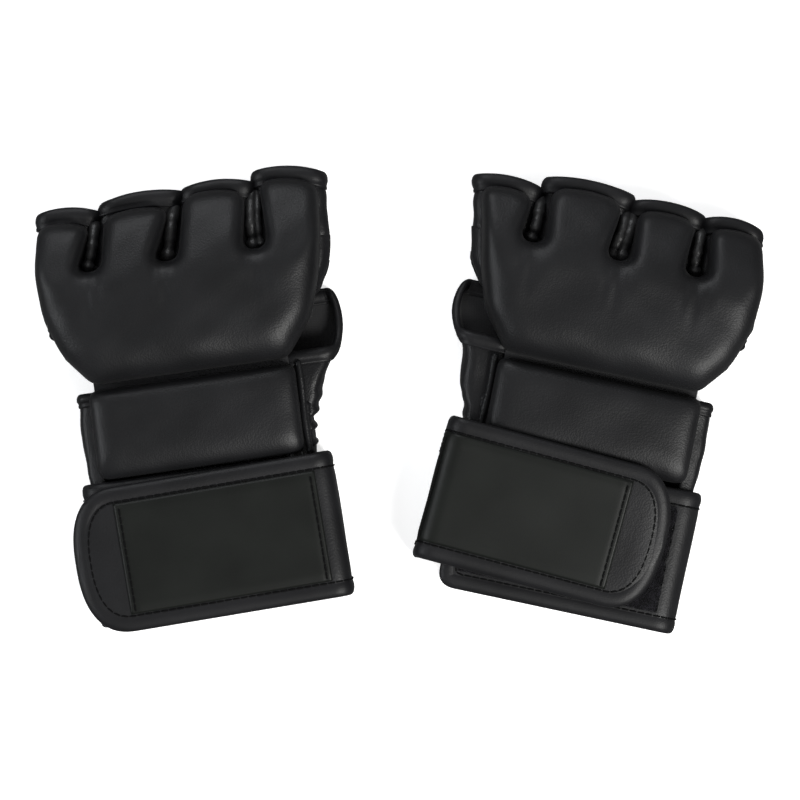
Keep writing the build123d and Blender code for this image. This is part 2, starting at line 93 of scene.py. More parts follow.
LEFT = Glove(
    "left", 1, band_end=45.3,
    web_low=(-38.0, -6.0, 31.0), web_high=(-31.8, 1.6, 33.0), mouth=(85.5, 88.0, 88.5, 90.0),
    little_top=-56.5, index_top=60.0,
    hinge_x=44.0, strap_y=-58.0, strap_yaw=1.5, strap_tilt=0.0, strap_length=104.0, strap_shift=0.0,
    thumb_lean=-3.0, patch_start=1.0, mouth_lean=(1.2, 0.0, 0.8, 2.0), hem_shows=(5.9, 6.5, 3.9, 4.8),
    thumb_pleats=1.5, thumb_fullness=0.0, back_rear=-27.2,
)
RIGHT = Glove(
    "right", -1, band_end=46.0,
    web_low=(-31.5, 1.0, 37.0), web_high=(-31.0, -0.4, 36.5), mouth=(85.0, 86.0, 88.0, 83.0),
    little_top=-55.5, index_top=62.0,
    hinge_x=49.5, strap_y=-48.0, strap_yaw=3.0, strap_tilt=4.2, strap_length=92.0, strap_shift=10.5,
    thumb_lean=0.0, patch_start=-7.0, mouth_lean=(0.0, 0.0, 0.0, 0.0), hem_shows=(4.4, 4.3, 4.3, 4.7),
    thumb_pleats=0.35, thumb_fullness=4.6, back_rear=-26.2,
)
GLOVES = (LEFT, RIGHT)
for glove in GLOVES:
    print(glove.name, "turned", round(math.degrees(glove.yaw), 1), "degrees")

# %% [markdown]
# ## Camera and lights
# The camera looks straight down, from far enough away that the sides of the pads barely show. Soft
# black leather is drawn by its reflections, so every light is a large square: a window beyond the
# fingers, a key from the lower right for the long highlights, and a weaker fill from the left.

# %% Camera
VIEW_WIDTH = 0.328  # what the camera sees across, at the height of the straps
VIEW_HEIGHT = 0.026
CAMERA_DISTANCE = 1.6
OFF_CENTRE = Vector((0.002, 0, 0))
SENSOR = 36.0
middle = (LEFT.at(0, 0, 0) + RIGHT.at(0, 0, 0)) / 2 + OFF_CENTRE
bpy.ops.object.camera_add(location=(middle.x, middle.y, VIEW_HEIGHT + CAMERA_DISTANCE))
camera = bpy.context.object
camera.name = "camera"
camera.data.sensor_width = SENSOR
camera.data.lens = SENSOR * CAMERA_DISTANCE / VIEW_WIDTH
camera.data.clip_end = 20
bpy.context.scene.camera = camera
print("lens", round(camera.data.lens, 1), "mm")


# %% Lights
def soft_light(name, at, size, watts, colour):
    """A square soft light at a place, turned towards the gloves."""
    bpy.ops.object.light_add(type="AREA", location=at)
    light = bpy.context.object
    light.name = name
    light.data.size = size
    light.data.energy = watts
    light.data.color = colour
    light.rotation_euler = (-Vector(at)).to_track_quat("-Z", "Y").to_euler()


soft_light("window", (-0.35, 1.35, 1.0), 0.8, 9.5, (0.95, 0.97, 1.0))
soft_light("key", (0.72, -0.62, 1.15), 0.5, 21.0, (1.0, 0.995, 0.97))
soft_light("fill", (-1.2, -0.1, 0.75), 0.7, 8.0, (0.94, 0.97, 1.0))

# %% [markdown]
# ## Writing shaders as sums
# A material is arithmetic on patterns. A small class wraps a socket so that `0.3 + 0.2 * grain` adds
# the Math nodes by itself, and one method makes any other node.


# %% A shader kit
class Value:
    """A number that varies over a surface: an output socket that can be added and multiplied."""

    def __init__(self, kit, socket):
        self.kit, self.socket = kit, socket

    def _math(self, operation, other):
        return self.kit.node("ShaderNodeMath", {"operation": operation}, {0: self, 1: other})

    def __add__(self, other):
        return self._math("ADD", other)

    def __mul__(self, other):
        return self._math("MULTIPLY", other)

    __radd__, __rmul__ = __add__, __mul__

    def above(self, low, high):
        """0 below low, 1 above high, and a straight ramp between."""
        values = {"Value": self, "From Min": low, "From Max": high}
        return self.kit.node("ShaderNodeMapRange", {"clamp": True}, values)


class Kit:
    """Makes the nodes of one node tree."""

    def __init__(self, tree):
        self.tree = tree

    def put(self, socket, value):
        """Links a socket to a varying value, or sets it to a number or a colour."""
        if isinstance(value, Value):
            self.tree.links.new(value.socket, socket)
        elif isinstance(value, tuple) and socket.type == "RGBA":
            socket.default_value = (*value, 1)
        else:
            socket.default_value = value

    def node(self, kind, settings=None, values=None, out=0):
        """A node of a kind: its settings first, then the values or links of its sockets."""
        made = self.tree.nodes.new(kind)
        for name, value in (settings or {}).items():
            if name == "stops":
                for stop, (position, grey) in zip(made.color_ramp.elements, value):
                    stop.position, stop.color = position, (grey, grey, grey, 1)
            else:
                setattr(made, name, value)
        for key, value in (values or {}).items():
            self.put(made.inputs[key], value)
        return Value(self, made.outputs[out])

    def mix(self, share, first, second):
        """One colour where share is 0, and the other where it is 1."""
        values = {"Factor": share, 6: first, 7: second}
        return self.node("ShaderNodeMix", {"data_type": "RGBA"}, values, out=2)


class Finish(Kit):
    """A material with one Principled shader, and the patterns that its pieces share."""

    def __init__(self, name, colour, roughness, **sockets):
        self.material = bpy.data.materials.new(name)
        self.material.use_nodes = True
        super().__init__(self.material.node_tree)
        self.set(Base_Color=colour, Roughness=roughness, **sockets)

    def set(self, **sockets):
        """Sets or links the shader's sockets."""
        for name, value in sockets.items():
            self.put(self.tree.nodes["Principled BSDF"].inputs[name.replace("_", " ")], value)

    def place(self):
        """The point on the object, in metres."""
        return self.node("ShaderNodeTexCoord", out="Object")

    def noise(self, size_mm, detail):
        """Cloudy noise whose blobs are about this big."""
        values = {"Vector": self.place(), "Scale": 1 / (size_mm * MM), "Detail": detail}
        return self.node("ShaderNodeTexNoise", values=values, out="Fac")

    def cells(self, size_mm):
        """Distance to the nearest of many scattered points, which makes pebbles."""
        values = {"Vector": self.place(), "Scale": 1 / (size_mm * MM)}
        return self.node("ShaderNodeTexVoronoi", values=values, out="Distance")

    def bump(self, height, depth_mm, strength):
        """Raises the surface by up to depth_mm where height is 1."""
        values = {"Height": height, "Distance": depth_mm * MM, "Strength": strength}
        self.set(Normal=self.node("ShaderNodeBump", values=values))


print("shader kit ready")

# %% [markdown]
# ## The room
# Black leather mirrors whatever stands round it. The room is a soft grey, darker near the floor and
# paler overhead, so that edges which face no light stay dark. Only the camera sees it as white.

# %% The room
ROOM_LOW, ROOM_HIGH = 0.12, 0.33  # the room's brightness near the floor and overhead
world = bpy.data.worlds.new("room")
bpy.context.scene.world = world
world.use_nodes = True
room = Kit(world.node_tree)
way = room.node("ShaderNodeTexCoord", out="Generated")
height = room.node("ShaderNodeSeparateXYZ", values={0: way}, out="Z")
stops = ((0.1, ROOM_LOW), (0.85, ROOM_HIGH))
grey = room.node("ShaderNodeValToRGB", {"stops": stops}, {"Fac": height}, out="Color")
to_camera = room.node("ShaderNodeLightPath", out="Is Camera Ray")
room.put(world.node_tree.nodes["Background"].inputs["Color"], room.mix(to_camera, grey, (1, 1, 1)))
bpy.context.scene.view_settings.view_transform = "Standard"
print("room", ROOM_LOW, "to", ROOM_HIGH)

# %% [markdown]
# ## Leather, tape, lining, rubber and thread
# Synthetic leather has a fine pebble and shallow creases, and it is a little shinier where it is
# stretched. It is tightest where it is rolled into a seam, so that leather has the most gloss. Its
# colour is also made paler, as painted light for rolls that lie in the shade of the slits. The folded
# edge tape is the same stuff, thinner and smoother. The lining is a woven nylon, the loop cloth a
# dense fuzz with painted shade between its loops and painted highlights on their tops, and the
# strap's patch a rubber with a very fine speckle.


# %% Finishes
def paler(colour, times):
    """The same colour, this many times brighter."""
    return tuple(c * times for c in colour)


def leather_finish(name, colour, roughness, pebble_mm, depth_mm, gloss=0.24):
    """Fine-grained synthetic leather."""
    finish = Finish(name, colour, roughness, Specular_IOR_Level=gloss, Sheen_Weight=0.015)
    pebble = finish.cells(pebble_mm)
    crease = finish.noise(pebble_mm * 5, 6.0)
    cloud = finish.noise(26.0, 2.0)
    finish.bump(pebble * 0.7 + crease * 0.9, depth_mm, 0.55)
    finish.set(
        Roughness=roughness - 0.05 + 0.10 * cloud + 0.06 * pebble,
        Base_Color=finish.mix(cloud.above(0.35, 0.7), colour, paler(colour, 1.55)),
        Sheen_Roughness=0.5,
    )
    return finish.material


def woven_finish(name, colour, thread_mm):
    """Plain-woven nylon: two sets of waves, one each way."""
    finish = Finish(name, colour, 0.82, Sheen_Weight=0.15)
    waves = {}
    for direction in ("X", "Y"):
        settings = {"wave_type": "BANDS", "bands_direction": direction}
        values = {"Vector": finish.place(), "Scale": 0.314 / (thread_mm * MM), "Distortion": 0.4}
        waves[direction] = finish.node("ShaderNodeTexWave", settings, values, out="Fac")
    weave = waves["X"] * waves["Y"]
    finish.bump(weave, 0.12, 0.7)
    finish.set(Base_Color=finish.mix(weave, colour, paler(colour, 1.9)))
    return finish.material


def fuzz_finish(name, colour, lit_tip_colour):
    """Loop cloth: painted shade between its loops, and painted highlights on top of them."""
    finish = Finish(name, colour, 0.95, Specular_IOR_Level=0.08, Sheen_Weight=0.05)
    tuft = finish.noise(0.4, 6.0)
    patchy = finish.noise(3.5, 2.0)
    # Where share is 1, the loops' tops get the painted highlight colour; elsewhere they get the painted
    # shade colour.
    share = (tuft * 0.7 + patchy * 0.3).above(0.45, 0.62)
    finish.bump(tuft, 1.6, 1.0)
    finish.set(Base_Color=finish.mix(share, colour, lit_tip_colour))
    return finish.material


def rubber_finish(name, colour):
    """Moulded rubber with a fine speckle and a soft shine."""
    finish = Finish(name, colour, 0.4, Specular_IOR_Level=0.2)
    speckle = finish.noise(0.45, 3.0)
    cloud = finish.noise(18.0, 1.0)
    finish.bump(speckle, 0.05, 0.6)
    finish.set(
        Roughness=0.36 + 0.10 * speckle + 0.06 * cloud,
        Base_Color=finish.mix(cloud.above(0.3, 0.75), colour, paler(colour, 1.4)),
    )
    return finish.material


LEATHER = leather_finish("grained_leather", (0.0058, 0.0059, 0.0066), 0.40, 0.75, 0.13)
SOFT_LEATHER = leather_finish("soft_leather", (0.005, 0.0051, 0.0058), 0.37, 0.6, 0.2)
# Rolled leather is three times paler than the soft leather: painted light on rolls that lie in the shade
# of the slits. Its higher gloss is real shine.
ROLLED_PAINTED_LIGHT = leather_finish("rolled_leather", (0.015, 0.015, 0.0155), 0.38, 0.6, 0.2, gloss=0.52)
TAPE = leather_finish("edge_tape", (0.0048, 0.0048, 0.0056), 0.43, 0.5, 0.10)
LINING = woven_finish("lining_nylon", (0.006, 0.006, 0.007), 0.7)
# Each fuzz has a dark colour as painted shade between its loops, and a paler one as painted highlights on
# their tops.
LOOPS = fuzz_finish("loop_pile", (0.0015, 0.0015, 0.002), (0.019, 0.018, 0.023))
HOOKS = fuzz_finish("hook_tape", (0.003, 0.003, 0.0035), (0.016, 0.016, 0.017))
RUBBER = rubber_finish("patch_rubber", (0.0045, 0.0053, 0.0045))
THREAD = Finish("thread", (0.0012, 0.0012, 0.0014), 0.75, Specular_IOR_Level=0.12).material
FLOOR = Finish("floor", (0.9, 0.9, 0.9), 0.7, Emission_Color=(1, 1, 1), Emission_Strength=0.62).material
print("finishes", len(bpy.data.materials))

# %% [markdown]
# ## The floor
# The gloves lie on a plain pale sheet. It glows a little, so that it stays white beside black leather,
# and it is kept out of reflections, because a white floor would turn the leather grey from below.

# %% The floor
bpy.ops.mesh.primitive_plane_add(size=30.0, location=(0, 0, 0))
floor = bpy.context.object
floor.name = "floor"
floor.data.materials.append(FLOOR)
floor.visible_glossy = False
print("floor", tuple(round(v, 2) for v in floor.dimensions))

# %% [markdown]
# ## Drawing outlines
# Leather is cut flat, so most pieces start as a flat outline. `rounded` turns a few corners, each
# with its own radius, into a smooth line. `inside` says how far a point lies within an outline, which
# is what shapes a pad: it is low at the seam and full height some way in.


# %% Lines
def lengths(line):
    """How far along a line each of its points lies."""
    return np.concatenate([[0], np.cumsum(np.linalg.norm(np.diff(line, axis=0), axis=1))])


def sampled(line, spots, along=None):
    """The points at these lengths along a line."""
    along = lengths(line) if along is None else along
    return np.stack([np.interp(spots, along, line[:, k]) for k in range(line.shape[1])], axis=-1)


def ring_of(points, axis=0):
    """The same points with the first one again at the end, so that they close."""
    return np.concatenate([points, points.take([0], axis)], axis)


def at_height(line, h):
    """A flat line's points, each with the same height."""
    return np.column_stack([line, np.full(len(line), h)])


def even(line, step, closed=False):
    """The same line with its points about step apart."""
    line = ring_of(line) if closed else line
    line = line[np.concatenate([[True], np.diff(lengths(line)) > 1e-9])]
    total = lengths(line)[-1]
    spots = np.linspace(0, total, max(3, int(round(total / step)) + 1))
    return sampled(line, spots[:-1] if closed else spots)


def rounded(corners, closed=True, step=1.0):
    """A line through corners (x, y, radius), with an arc at each, as evenly spaced points."""
    points = np.array([c[:2] for c in corners], float)
    count = len(points)
    line = []
    for i, (x, y, radius) in enumerate(corners):
        if not closed and i in (0, count - 1):
            line.append(points[i])
            continue
        here = points[i]
        back, ahead = points[i - 1] - here, points[(i + 1) % count] - here
        room = 0.49 * min(np.linalg.norm(back), np.linalg.norm(ahead))
        back, ahead = back / np.linalg.norm(back), ahead / np.linalg.norm(ahead)
        half_turn = (math.pi - math.acos(np.clip(back @ ahead, -1, 1))) / 2
        cut = min(radius * math.tan(half_turn), room)
        start, end = here + back * cut, here + ahead * cut
        for t in np.linspace(0, 1, 9):
            line.append((1 - t) ** 2 * start + 2 * t * (1 - t) * here + t**2 * end)
    return even(np.array(line), step, closed)


def counted(corners, count, closed=True, step=0.2):
    """A line through rounded corners, as a fixed number of points."""
    line = rounded(corners, closed, step)
    line = ring_of(line) if closed else line
    spots = np.linspace(0, lengths(line)[-1], count + closed)
    return sampled(line, spots[:-1] if closed else spots)


def inside(points, outline):
    """How far each (x, y) lies inside a closed outline, and the unit way in from its nearest edge."""
    starts, ends = outline, np.roll(outline, -1, axis=0)
    edges = ends - starts
    squares = (edges**2).sum(1)
    distance = np.empty(len(points))
    way = np.empty((len(points), 2))
    for block in range(0, len(points), 4000):
        p = points[block : block + 4000, None, :]
        t = np.clip(((p - starts) * edges).sum(2) / squares, 0, 1)
        offset = p - (starts + t[..., None] * edges)
        far = np.sqrt((offset**2).sum(2))
        nearest = far.argmin(1)
        rows = np.arange(len(nearest))
        distance[block : block + 4000] = far[rows, nearest]
        way[block : block + 4000] = offset[rows, nearest]
    crossing = np.zeros(len(points), bool)
    for (ax, ay), (bx, by) in zip(starts, ends):
        spans = (ay > points[:, 1]) != (by > points[:, 1])
        with np.errstate(divide="ignore", invalid="ignore"):
            hit = points[:, 0] < (bx - ax) * (points[:, 1] - ay) / (by - ay) + ax
        crossing ^= spans & hit
    sign = np.where(crossing, 1.0, -1.0)
    way = way * sign[:, None] / np.maximum(distance, 1e-9)[:, None]
    return distance * sign, way


def unit(vectors):
    """The same vectors, one long."""
    return vectors / np.maximum(np.linalg.norm(vectors, axis=-1, keepdims=True), 1e-9)


def ease(x, low, high):
    """0 below low, 1 above high, and a smooth step between."""
    t = np.clip((np.asarray(x, float) - low) / (high - low), 0, 1)
    return t * t * (3 - 2 * t)


print("line tools ready")

# %% [markdown]
# ## Handling pieces
# Every piece is handled the same way: it alone is selected, operators run on all of it in edit mode,
# and its modifiers are applied at once. Its points are read and written in millimetres.


# %% Handling
def dress(obj, material):
    """Gives a piece its finish."""
    obj.data.materials.clear()
    obj.data.materials.append(material)
    return obj


def fresh(obj, name, material):
    """Names a new piece and gives it its finish."""
    obj.name = obj.data.name = name
    return dress(obj, material)


def alone(obj):
    """Makes one object the only one selected."""
    bpy.ops.object.select_all(action="DESELECT")
    obj.select_set(True)
    bpy.context.view_layer.objects.active = obj


def edit(obj, *operations):
    """Runs edit-mode operators on all of a piece."""
    alone(obj)
    bpy.ops.object.mode_set(mode="EDIT")
    bpy.ops.mesh.select_all(action="SELECT")
    for operation in operations:
        operation()
    bpy.ops.object.mode_set(mode="OBJECT")
    return obj


def weld(obj):
    """Merges doubled points and turns the faces outwards."""
    return edit(
        obj,
        lambda: bpy.ops.mesh.remove_doubles(threshold=1e-6),
        lambda: bpy.ops.mesh.normals_make_consistent(inside=False),
    )


def modify(obj, kind, **settings):
    """Adds a modifier and applies it."""
    alone(obj)
    modifier = obj.modifiers.new(kind.lower(), kind)
    for key, value in settings.items():
        setattr(modifier, key, value)
    bpy.ops.object.modifier_apply(modifier=modifier.name)
    return obj


def smooth_shaded(obj):
    """Hides the facets of a piece."""
    obj.data.shade_smooth()
    return obj


def joined(pieces, name, material):
    """Several pieces as one."""
    alone(pieces[0])
    for piece in pieces:
        piece.select_set(True)
    bpy.ops.object.join()
    return fresh(bpy.context.object, name, material)


def read(obj, what):
    """One vector for each point of a piece."""
    flat = np.empty(len(obj.data.vertices) * 3)
    obj.data.vertices.foreach_get(what, flat)
    return flat.reshape(-1, 3)


def get_points(obj):
    """A piece's points in millimetres."""
    return read(obj, "co") / MM


def set_points(obj, points):
    """Moves a piece's points, given in millimetres."""
    obj.data.vertices.foreach_set("co", (np.asarray(points) * MM).ravel())
    obj.data.update()


print("handling ready")

# %% [markdown]
# ## From lines to surfaces
# `slab` fills an outline and extrudes it. `laid` lays a grid primitive over a table of points, for
# tubes, sleeves and wraps, which keeps the faces square and in rows, as cloth is woven.


# %% Surfaces
def slab(name, outline, low, high, material):
    """A flat outline, filled and extruded from low to high."""
    bpy.ops.object.select_all(action="DESELECT")
    bpy.ops.mesh.primitive_circle_add(vertices=len(outline), radius=1, fill_type="NGON")
    obj = fresh(bpy.context.object, name, material)
    set_points(obj, at_height(outline, low))
    lift = {"value": (0, 0, (high - low) * MM)}
    edit(
        obj,
        lambda: bpy.ops.mesh.extrude_region_move(TRANSFORM_OT_translate=lift),
        lambda: bpy.ops.mesh.select_all(action="SELECT"),
        lambda: bpy.ops.mesh.normals_make_consistent(inside=False),
    )
    return obj


def laid(name, table, material):
    """A grid primitive laid over table[u][v], closed wherever the table's points meet."""
    table = np.asarray(table, float)
    rows, columns = table.shape[:2]
    bpy.ops.object.select_all(action="DESELECT")
    bpy.ops.mesh.primitive_grid_add(x_subdivisions=rows - 1, y_subdivisions=columns - 1, size=2)
    obj = fresh(bpy.context.object, name, material)
    flat = read(obj, "co")
    u = np.rint((flat[:, 0] + 1) / 2 * (rows - 1)).astype(int)
    v = np.rint((flat[:, 1] + 1) / 2 * (columns - 1)).astype(int)
    set_points(obj, table[u, v])
    return smooth_shaded(weld(obj))


def swept(line, section, across, above):
    """A table of points: a section (way across, way above) carried along a line."""
    return (
        line[:, None, :]
        + section[..., :1] * across[:, None, :]
        + section[..., 1:] * above[:, None, :]
    )


def capped(table):
    """A table of closed rows whose first and last rows are drawn together to a point."""
    table = np.asarray(table)
    ends = [np.broadcast_to(row.mean(axis=0), row.shape)[None] for row in (table[0], table[-1])]
    return np.concatenate([ends[0], table, ends[1]])


def crumpled(table, amount, size, seed):
    """A table of points pushed in and out by soft folds about this big."""
    x, y, z = (table[..., k] / size for k in range(3))
    wave = (
        np.sin(1.7 * x + 2.3 * y + seed) * np.cos(1.9 * z - 1.1 * y + 2 * seed)
        + 0.6 * np.sin(4.1 * y + 1.3 * z + 3 * seed) * np.sin(2.9 * x - seed)
        + 0.35 * np.sin(6.3 * y - 3.7 * x + seed)
    )
    middle = table.mean(axis=1, keepdims=True)
    return table + amount * wave[..., None] * unit(table - middle) * np.array([1, 0, 1])


def lined(name, table, wall):
    """Soft leather laid over a table, with a lining inside."""
    obj = laid(name, table, SOFT_LEATHER)
    obj.data.materials.append(LINING)
    points = get_points(obj)
    if ((points - points.mean(axis=0)) * read(obj, "normal")).sum() < 0:
        obj.data.flip_normals()
    modify(obj, "SOLIDIFY", thickness=wall * MM, offset=-1.0, material_offset=1)
    return smooth_shaded(obj)


print("surface tools ready")

# %% [markdown]
# ## Tubes and folded tape
# `tube` sweeps a round section along a line and domes its ends. `binding` sweeps the section of a tape
# that is folded over a raw edge: two lips with a sunk row of stitching, and a soft round back.


# %% Tubes and tape
def framed(line):
    """The ways along, across and up at each point of a line."""
    along = unit(np.gradient(line, axis=0))
    across = unit(np.cross(along, (0, 0, 1)))
    return along, across, np.cross(across, along)


def tube(name, line, radius, material, sides):
    """A round tube along a line, with domed ends. The radius may vary along it."""
    radius = np.broadcast_to(np.asarray(radius, float), len(line))
    along, across, above = framed(line)
    dome = np.array([0.0, 0.6, 0.9])
    reach = np.sqrt(1 - dome**2)
    first = line[0] - along[0] * (reach * radius[0])[:, None]
    last = line[-1] + along[-1] * (reach[::-1] * radius[-1])[:, None]
    line = np.vstack([first, line, last])
    radius = np.concatenate([dome * radius[0], radius, dome[::-1] * radius[-1]])
    across, above = (np.vstack([w[:1]] * 3 + [w] + [w[-1:]] * 3) for w in (across, above))
    angle = np.linspace(0, 2 * math.pi, sides + 1)
    circle = np.column_stack([np.cos(angle), np.sin(angle)])
    return laid(name, swept(line, radius[:, None, None] * circle, across, above), material)


def fold_section(width, half):
    """The closed section of tape folded round an edge: (way in from the edge, way up)."""
    upper = [
        (width, half - 0.15), (width - 0.15, half + 0.3), (width - 0.9, half + 0.42),
        (width - 1.7, half + 0.2), (width - 2.6, half + 0.5), (width * 0.45, half + 0.75),
        (width * 0.2, half + 0.65), (0.15, half + 0.2), (-0.5, half * 0.55), (-0.7, 0.0),
    ]
    lower = [(a, -b) for a, b in reversed(upper[:-1])]
    return ring_of(np.array(upper + lower))


def binding(name, line, inward, up, width, half, closed=False, wrap=None):
    """Edge tape folded round the edge that a line follows, bent afterwards where wrap says."""
    inward, up = (np.broadcast_to(np.asarray(part, float), line.shape) for part in (inward, up))
    if closed:
        line, inward, up = (ring_of(part) for part in (line, inward, up))
    table = swept(line, fold_section(width, half), inward, up)
    if not closed:
        table = capped(table)
    return laid(name, wrap(table) if wrap else table, TAPE)


def edge_tape(name, table, width, half):
    """Tape folded round the open end of a sleeve, which is the last row of its table."""
    line = table[-1, :-1]
    inward = unit(table[-4, :-1] - line)
    round_it = unit(np.roll(line, -1, axis=0) - np.roll(line, 1, axis=0))
    up = unit(np.cross(inward, round_it))
    if ((line - line.mean(axis=0)) * up).sum() < 0:
        up = -up
    return binding(name, line, inward, up, width, half, closed=True)


print("tape section", len(fold_section(7, 1)), "points")

# %% [markdown]
# ## Stitches
# A stitch is modelled once, as a short round bar that dips at both ends, and then copied along the
# seam at the machine's pitch, so every seam on the gloves has the same thread.

# %% One stitch
STITCH_PITCH = 3.3
STITCH_LENGTH = 2.4
STITCH_RADIUS = 0.36
A_BIT_UP = np.array([0, 0, 0.1])
span = np.linspace(-0.5, 0.5, 7)
bar = np.column_stack([span * STITCH_LENGTH, np.zeros(7), 0.25 - 0.9 * span**2])
STITCH = tube("stitch_pattern", bar, STITCH_RADIUS, THREAD, sides=6)


def copies(name, pattern, places, material):
    """One mesh of many copies of a pattern piece, each under its own matrix."""
    points = read(pattern, "co")
    faces = [tuple(face.vertices) for face in pattern.data.polygons]
    homogeneous = np.column_stack([points, np.ones(len(points))])
    moved = np.concatenate([homogeneous @ np.array(place).T for place in places])[:, :3]
    shifted = [tuple(i + k * len(points) for i in face) for k in range(len(places)) for face in faces]
    mesh = bpy.data.meshes.new(name)
    mesh.from_pydata(moved.tolist(), [], shifted)
    obj = bpy.data.objects.new(name, mesh)
    bpy.context.scene.collection.objects.link(obj)
    return smooth_shaded(fresh(obj, name, material))


def stitches(name, line, wrap):
    """Stitches along a line that lies on flat leather, bent afterwards by wrap."""
    line, up = wrap(line), wrap(line + A_BIT_UP) - wrap(line)
    along = lengths(line)
    spots = np.arange(STITCH_PITCH / 2, along[-1], STITCH_PITCH)
    ways, _, _ = framed(line)
    places = []
    for at, way, above in zip(*(sampled(part, spots, along) for part in (line, ways, up))):
        way, above = Vector(way).normalized(), Vector(above).normalized()
        side = above.cross(way).normalized()
        turn = Matrix((way, side, way.cross(side))).transposed().to_4x4()
        places.append(Matrix.Translation(Vector(at) * MM) @ turn)
    return copies(name, STITCH, places, THREAD)


print("stitch", len(STITCH.data.polygons), "faces")

# %% [markdown]
# ## Putting a piece on a glove
# A finished piece is moved to its glove, flipped if the glove is the right one, and tied to the CAD
# body that it moves with. A piece that crosses a joint is only put in place, and tied to no body.


# %% Placing
def settle(obj, glove, replaced=()):
    """Names a piece for its glove, moves it from the glove's frame to its place, and hides the CAD parts
    that it replaces.
    """
    obj.name = obj.data.name = f"{glove.name}_{obj.name}"
    obj.data.transform(glove.matrix)
    if glove.side < 0:
        obj.data.flip_normals()
    if replaced:
        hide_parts(*[f"{glove.name}_{node}" for node in replaced])
    return obj


def on(obj, glove, body, replaced=()):
    """A piece that moves with one body of its glove."""
    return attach(settle(obj, glove, replaced), f"{glove.name}_{body}")


def across(obj, glove, bodies, start, end, slot, replaced=()):
    """Puts a piece in place and ties it to no body, so it does not bend between the two bodies it names.
    """
    settle(obj, glove, replaced)
    first, second = (f"{glove.name}_{body}" for body in bodies)
    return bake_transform(obj, first, second, glove.at(*start), glove.at(*end))


def bent(obj, glove, finger, slot, replaced=()):
    """Puts a piece in place at a finger's web, tied to no body, so it does not bend with the finger."""
    start, end = (0, SPLIT_Y, 18), (0, BEND_END_Y, 18)
    return across(obj, glove, ("hand", finger), start, end, slot, replaced)


print("placing ready")

# %% [markdown]
# ## The hand's outline
# Seen from above, a glove is a wide pad with four lobes parted by deep slits with round bottoms. The
# same outline cuts the moulded pad on top and the palm leather below, so they meet at one seam.

# %% Outline of the hand
SLIT_BOTTOM = 58.5
SLIT_LOW = 5.0  # half width of a slit at its bottom
SLIT_HIGH = 3.0  # and between the finger tips
TIP_ROUND = 8.0
GROOVE_Y = 12.2


def finger_sides(glove, number):
    """The x of a finger's two sides, at its tip."""
    left = glove.little_top if number == 0 else glove.web_high[number - 1] + SLIT_HIGH
    right = glove.index_top if number == 3 else glove.web_high[number] - SLIT_HIGH
    return left, right


def hand_outline(glove):
    """The outline of the hand, with each lobe ending short of its finger's hem."""
    corners = [(38, GROOVE_Y, 7), (50, 28, 30), (55.5, 46, 40), (58.5, 62, 40)]
    for number in (3, 2, 1, 0):
        left, right = finger_sides(glove, number)
        tip, lean = glove.mouth[number] - glove.hem_shows[number], glove.mouth_lean[number]
        corners += [
            (right, tip - 1.2 - lean, TIP_ROUND), ((left + right) / 2, tip + 0.6, 40),
            (left, tip - 1.2 + lean, TIP_ROUND),
        ]
        if number:
            low = glove.web_low[number - 1]
            corners += [(low + SLIT_LOW, SLIT_BOTTOM, SLIT_LOW), (low - SLIT_LOW, SLIT_BOTTOM, SLIT_LOW)]
    corners += [(-60.3, 61, 40), (-59.5, 42, 40), (-53.5, 25, 30), (-43, GROOVE_Y, 7)]
    return rounded(corners)


for glove in GLOVES:
    print(glove.name, "outline", len(hand_outline(glove)), "points")

# %% [markdown]
# ## The moulded pads
# A pad is a block of foam under stretched leather. The block is remeshed into an even skin, and each
# point is then raised by how far it lies from the seam: a quarter circle near the edge, and a flat
# crown further in. Small hollows run down from the slits, where the leather is pulled into them.

# %% Pads
PAD_LOW = 17.6
PAD_HIGH = 39.0
PAD_VOXEL = 1.15


def puffed(obj, outline, low, high, height, radius, wall):
    """Raises a remeshed block into a pad: height and radius are functions of (x, y)."""
    points = get_points(obj)
    depth, way = inside(points[:, :2], outline)
    depth = np.maximum(depth, 0)
    round_to = radius(points[:, 0], points[:, 1])
    share = np.clip(depth / round_to, 0, 1)
    moved = np.where(share < 1, round_to * (1 - np.cos(share * math.pi / 2)) ** 0.9, depth)
    points[:, :2] += way * (moved - depth)[:, None]
    crown = np.sqrt(1 - (1 - share) ** 2.5)
    full = wall + (height(points[:, 0], points[:, 1]) - wall) * crown
    points[:, 2] = low + (points[:, 2] - low) / (high - low) * full
    set_points(obj, points)
    return obj


def dent(x, y, at, size, depth):
    """A smooth hollow, size (across, along), at a place."""
    return -depth * np.exp(-(((x - at[0]) / size[0]) ** 2) - ((y - at[1]) / size[1]) ** 2)


def ripple(x, y, seed):
    """Slow unevenness of hand-pulled leather, within about half a millimetre."""
    return (
        0.22 * np.sin(x / 9.0 + seed) * np.cos(y / 13.0 - seed)
        + 0.14 * np.sin((x + y) / 5.3 + 2 * seed)
        + 0.10 * np.cos((x - 1.6 * y) / 4.1 + seed)
    )


def moulded(name, outline, high, height, radius, wall):
    """A block of foam and leather, remeshed into an even skin and raised into a smooth pad."""
    pad = slab(name, outline, PAD_LOW, high, LEATHER)
    modify(pad, "REMESH", mode="VOXEL", voxel_size=PAD_VOXEL * MM)
    puffed(pad, outline, PAD_LOW, high, height, radius, wall)
    modify(pad, "SMOOTH", factor=0.5, iterations=5)
    return smooth_shaded(pad)


